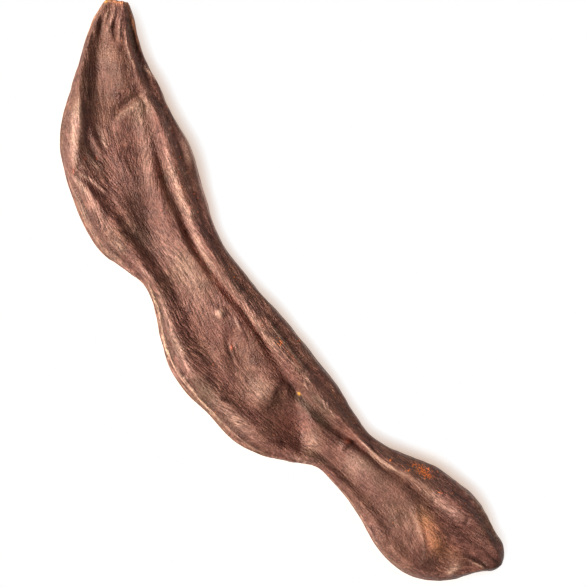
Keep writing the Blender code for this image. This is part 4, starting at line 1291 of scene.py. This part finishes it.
    def mesh(self, points: np.ndarray) -> bpy.types.Mesh:
        """Skins the rings with quads, and closes both ends.

        Args:
            points: The rings' points, in millimetres. The first and the last ring are each one spot.

        Returns:
            The mesh, in metres.
        """
        rings, columns = points.shape[:2]
        corners = np.concatenate([points[0, :1], points[1:-1].reshape(-1, 3), points[-1, :1]]) * MM
        last = len(corners) - 1
        number = 1 + np.arange((rings - 2) * columns).reshape(rings - 2, columns)
        after = np.roll(number, -1, axis=1)
        quads = np.stack([number[:-1], number[1:], after[1:], after[:-1]], axis=2).reshape(-1, 4)
        faces = [(0, first, second) for first, second in zip(number[0].tolist(), after[0].tolist())]
        faces += quads.tolist()
        faces += [(last, second, first) for first, second in zip(number[-1].tolist(), after[-1].tolist())]
        mesh = bpy.data.meshes.new("carob_pod_skin")
        mesh.from_pydata(corners.tolist(), [], faces)
        mesh.shade_smooth()
        return mesh

    def store(self, mesh: bpy.types.Mesh, name: str, values: np.ndarray) -> None:
        """Keeps a value for each point under a name that the material reads.

        Args:
            mesh: The mesh that `mesh` made.
            name: The attribute's name.
            values: One number or three for each point of the rings.
        """
        vector = values.ndim == 3
        flat = np.concatenate([values[0, :1], values[1:-1].reshape(-1, *values.shape[2:]), values[-1, :1]])
        attribute = mesh.attributes.new(name, "FLOAT_VECTOR" if vector else "FLOAT", "POINT")
        attribute.data.foreach_set("vector" if vector else "value", flat.astype(np.float32).ravel())

    def build(self) -> bpy.types.Object:
        """Builds the pod and dresses it.

        Returns:
            The pod's object.
        """
        form = self.shape()
        points = form["points"]
        lean = self.fibres.lean(form["along"], form["across"]) * form["on_top"]
        points[..., 2] += self.lift(form)
        points += self.skin_normals(points) * self.ruffle(form, lean)[..., None]
        mesh = self.mesh(self.settle(points))
        self.store(mesh, "grown", np.stack([form["along"], form["across"], form["height"]], axis=2))
        self.store(mesh, "lean", lean)
        self.store(mesh, "vivid", 1 + (self.fibres.vivid(form["along"], form["across"]) - 1) * form["on_top"])
        for tint in Tint:
            self.store(mesh, tint.value, self.colouring.share(tint, form))
        mesh.materials.append(self.husk.make())
        pod = bpy.data.objects.new("carob_pod_skin", mesh)
        bpy.context.scene.collection.objects.link(pod)
        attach(pod, "root")
        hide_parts("carob_pod")
        return pod


@dataclass(frozen=True)
class PaleFloor:
    """A matt white sheet lit from within, as a light table is, which stays white away from what lies on it.

    Close to the pod an occlusion test dims the glow and gives way to the plain sheet: a painted shade, soft,
    narrow and pale, on top of the real shadow that the lights cast on the sheet, and tinted by the sheet's warm
    colour.
    """

    side: float = 3.0  # metres
    below: float = 0.0001  # metres under the pod's lowest points
    # the sheet's colour close to the pod, under the lights and in the dimmed glow, where it tints the painted
    # shade
    sheet: str = "#e6d0be"
    # the dimmer glow close to the pod is painted shade
    glow: Ramp = (0.0, 1.0, 0.62, 1.0)  # being away from the pod to the glow's strength
    openness: Ramp = (0.5, 0.97)  # how open the sky is to being away from the pod
    sky_rays: int = 6  # how many rays look for the open sky
    reach: float = 3.6  # mm from the pod over which the glow gives way
    roughness: float = 0.9

    def build(self) -> bpy.types.Object:
        """Builds the floor.

        Returns:
            The floor's object.
        """
        half = self.side / 2
        mesh = bpy.data.meshes.new("floor")
        corners = [(-half, -half, 0), (half, -half, 0), (half, half, 0), (-half, half, 0)]
        mesh.from_pydata(corners, [], [(0, 1, 2, 3)])
        mesh.materials.append(self.make())
        floor = bpy.data.objects.new("floor", mesh)
        floor.location.z = -self.below
        bpy.context.scene.collection.objects.link(floor)
        return floor

    def make(self) -> bpy.types.Material:
        """Builds the sheet's material.

        Returns:
            The material.
        """
        material = bpy.data.materials.new("matt_white_sheet")
        material.use_nodes = True
        tree = material.node_tree
        shader = tree.nodes["Principled BSDF"]
        open_sky = add_node(tree, "AmbientOcclusion", {"samples": self.sky_rays}, {"Distance": self.reach * MM})
        away = add_node(tree, "MapRange", {}, (open_sky.outputs["AO"], *self.openness)).outputs[0]
        for socket, code in (("Base Color", "#000000"), ("Emission Color", "#ffffff")):
            colour = add_node(tree, "Mix", COLOURS, {0: away, 6: linear(self.sheet), 7: linear(code)})
            tree.links.new(colour.outputs[2], shader.inputs[socket])
        glow = add_node(tree, "MapRange", {}, (away, *self.glow)).outputs[0]
        tree.links.new(glow, shader.inputs["Emission Strength"])
        shader.inputs["Specular IOR Level"].default_value = 0.0
        shader.inputs["Roughness"].default_value = self.roughness
        return material


@dataclass(frozen=True)
class SoftLight:
    """A square soft box that faces the pod.

    Attributes:
        name: Its name.
        azimuth: Its direction seen from above, in degrees from +X towards +Y.
        elevation: Its angle over the floor, in degrees.
        distance: Its distance, in metres.
        side: Its side, in metres.
        power: Its power, in watts.
    """

    name: str
    azimuth: float
    elevation: float
    distance: float
    side: float
    power: float

    def build(self) -> bpy.types.Object:
        """Builds the light.

        Returns:
            The light's object.
        """
        azimuth, elevation = math.radians(self.azimuth), math.radians(self.elevation)
        level = self.distance * math.cos(elevation)
        rise = self.distance * math.sin(elevation)
        place = Vector((level * math.cos(azimuth), level * math.sin(azimuth), rise))
        data = bpy.data.lights.new(self.name, "AREA")
        data.size = self.side
        data.energy = self.power
        light = bpy.data.objects.new(self.name, data)
        light.location = place
        light.rotation_euler = (-place).to_track_quat("-Z", "Y").to_euler()
        bpy.context.scene.collection.objects.link(light)
        return light


@dataclass(frozen=True)
class Studio:
    """The lights, the pale surroundings and the camera, which looks straight down as the photograph does."""

    lights: tuple[SoftLight, ...] = (
        SoftLight("key_soft_box", -121.0, 37.0, 0.8, 0.34, 15.9),
        SoftLight("top_soft_box", -64.0, 70.0, 0.9, 0.8, 0.5),
        SoftLight("rim_soft_box", 62.0, 15.0, 0.8, 0.5, 1.7),
    )
    dome: Ramp = (0.0, 1.0, 0.145, 0.9)  # being seen by the camera to the surroundings' strength
    dome_colour: str = "#ffe6df"
    lens: float = 100.0
    sensor: float = 36.0
    over: tuple[float, float] = (0.67, 11.81)  # mm
    height: float = 346.9  # mm
    roll: float = 55.2  # degrees

    def build_world(self) -> None:
        """Makes the surroundings: dim as a light, and pale to the camera."""
        world = bpy.data.worlds.new("pale_surroundings")
        world.use_nodes = True
        tree = world.node_tree
        ray = add_node(tree, "LightPath", {}, {}).outputs["Is Camera Ray"]
        background = tree.nodes["Background"]
        colour = add_node(tree, "Mix", COLOURS, {
            0: ray, 6: linear(self.dome_colour), 7: linear("#ffffff"),
        })
        strength = add_node(tree, "MapRange", {}, (ray, *self.dome))
        tree.links.new(colour.outputs[2], background.inputs["Color"])
        tree.links.new(strength.outputs[0], background.inputs["Strength"])
        bpy.context.scene.world = world

    def build_camera(self) -> None:
        """Makes the camera."""
        data = bpy.data.cameras.new("camera")
        data.lens = self.lens
        data.sensor_width = self.sensor
        camera = bpy.data.objects.new("camera", data)
        camera.location = (self.over[0] * MM, self.over[1] * MM, self.height * MM)
        camera.rotation_euler = (0, 0, math.radians(self.roll))
        bpy.context.scene.collection.objects.link(camera)
        bpy.context.scene.camera = camera

    def build(self) -> None:
        """Builds the lights, the surroundings and the camera."""
        for light in self.lights:
            light.build()
        self.build_world()
        self.build_camera()
        bpy.context.scene.view_settings.view_transform = "Standard"


def main() -> None:
    """Builds the pod, the floor and the studio, and reports each piece."""
    logging.basicConfig(level=logging.INFO, format="%(name)s: %(message)s")
    pod = CarobPod().build()
    log.info("%s: %d points, %d faces", pod.name, len(pod.data.vertices), len(pod.data.polygons))
    floor = PaleFloor().build()
    log.info("%s: %.1f m wide", floor.name, floor.dimensions.x)
    studio = Studio()
    studio.build()
    log.info("studio: %d lights", len(studio.lights))


if __name__ == "__main__":
    main()
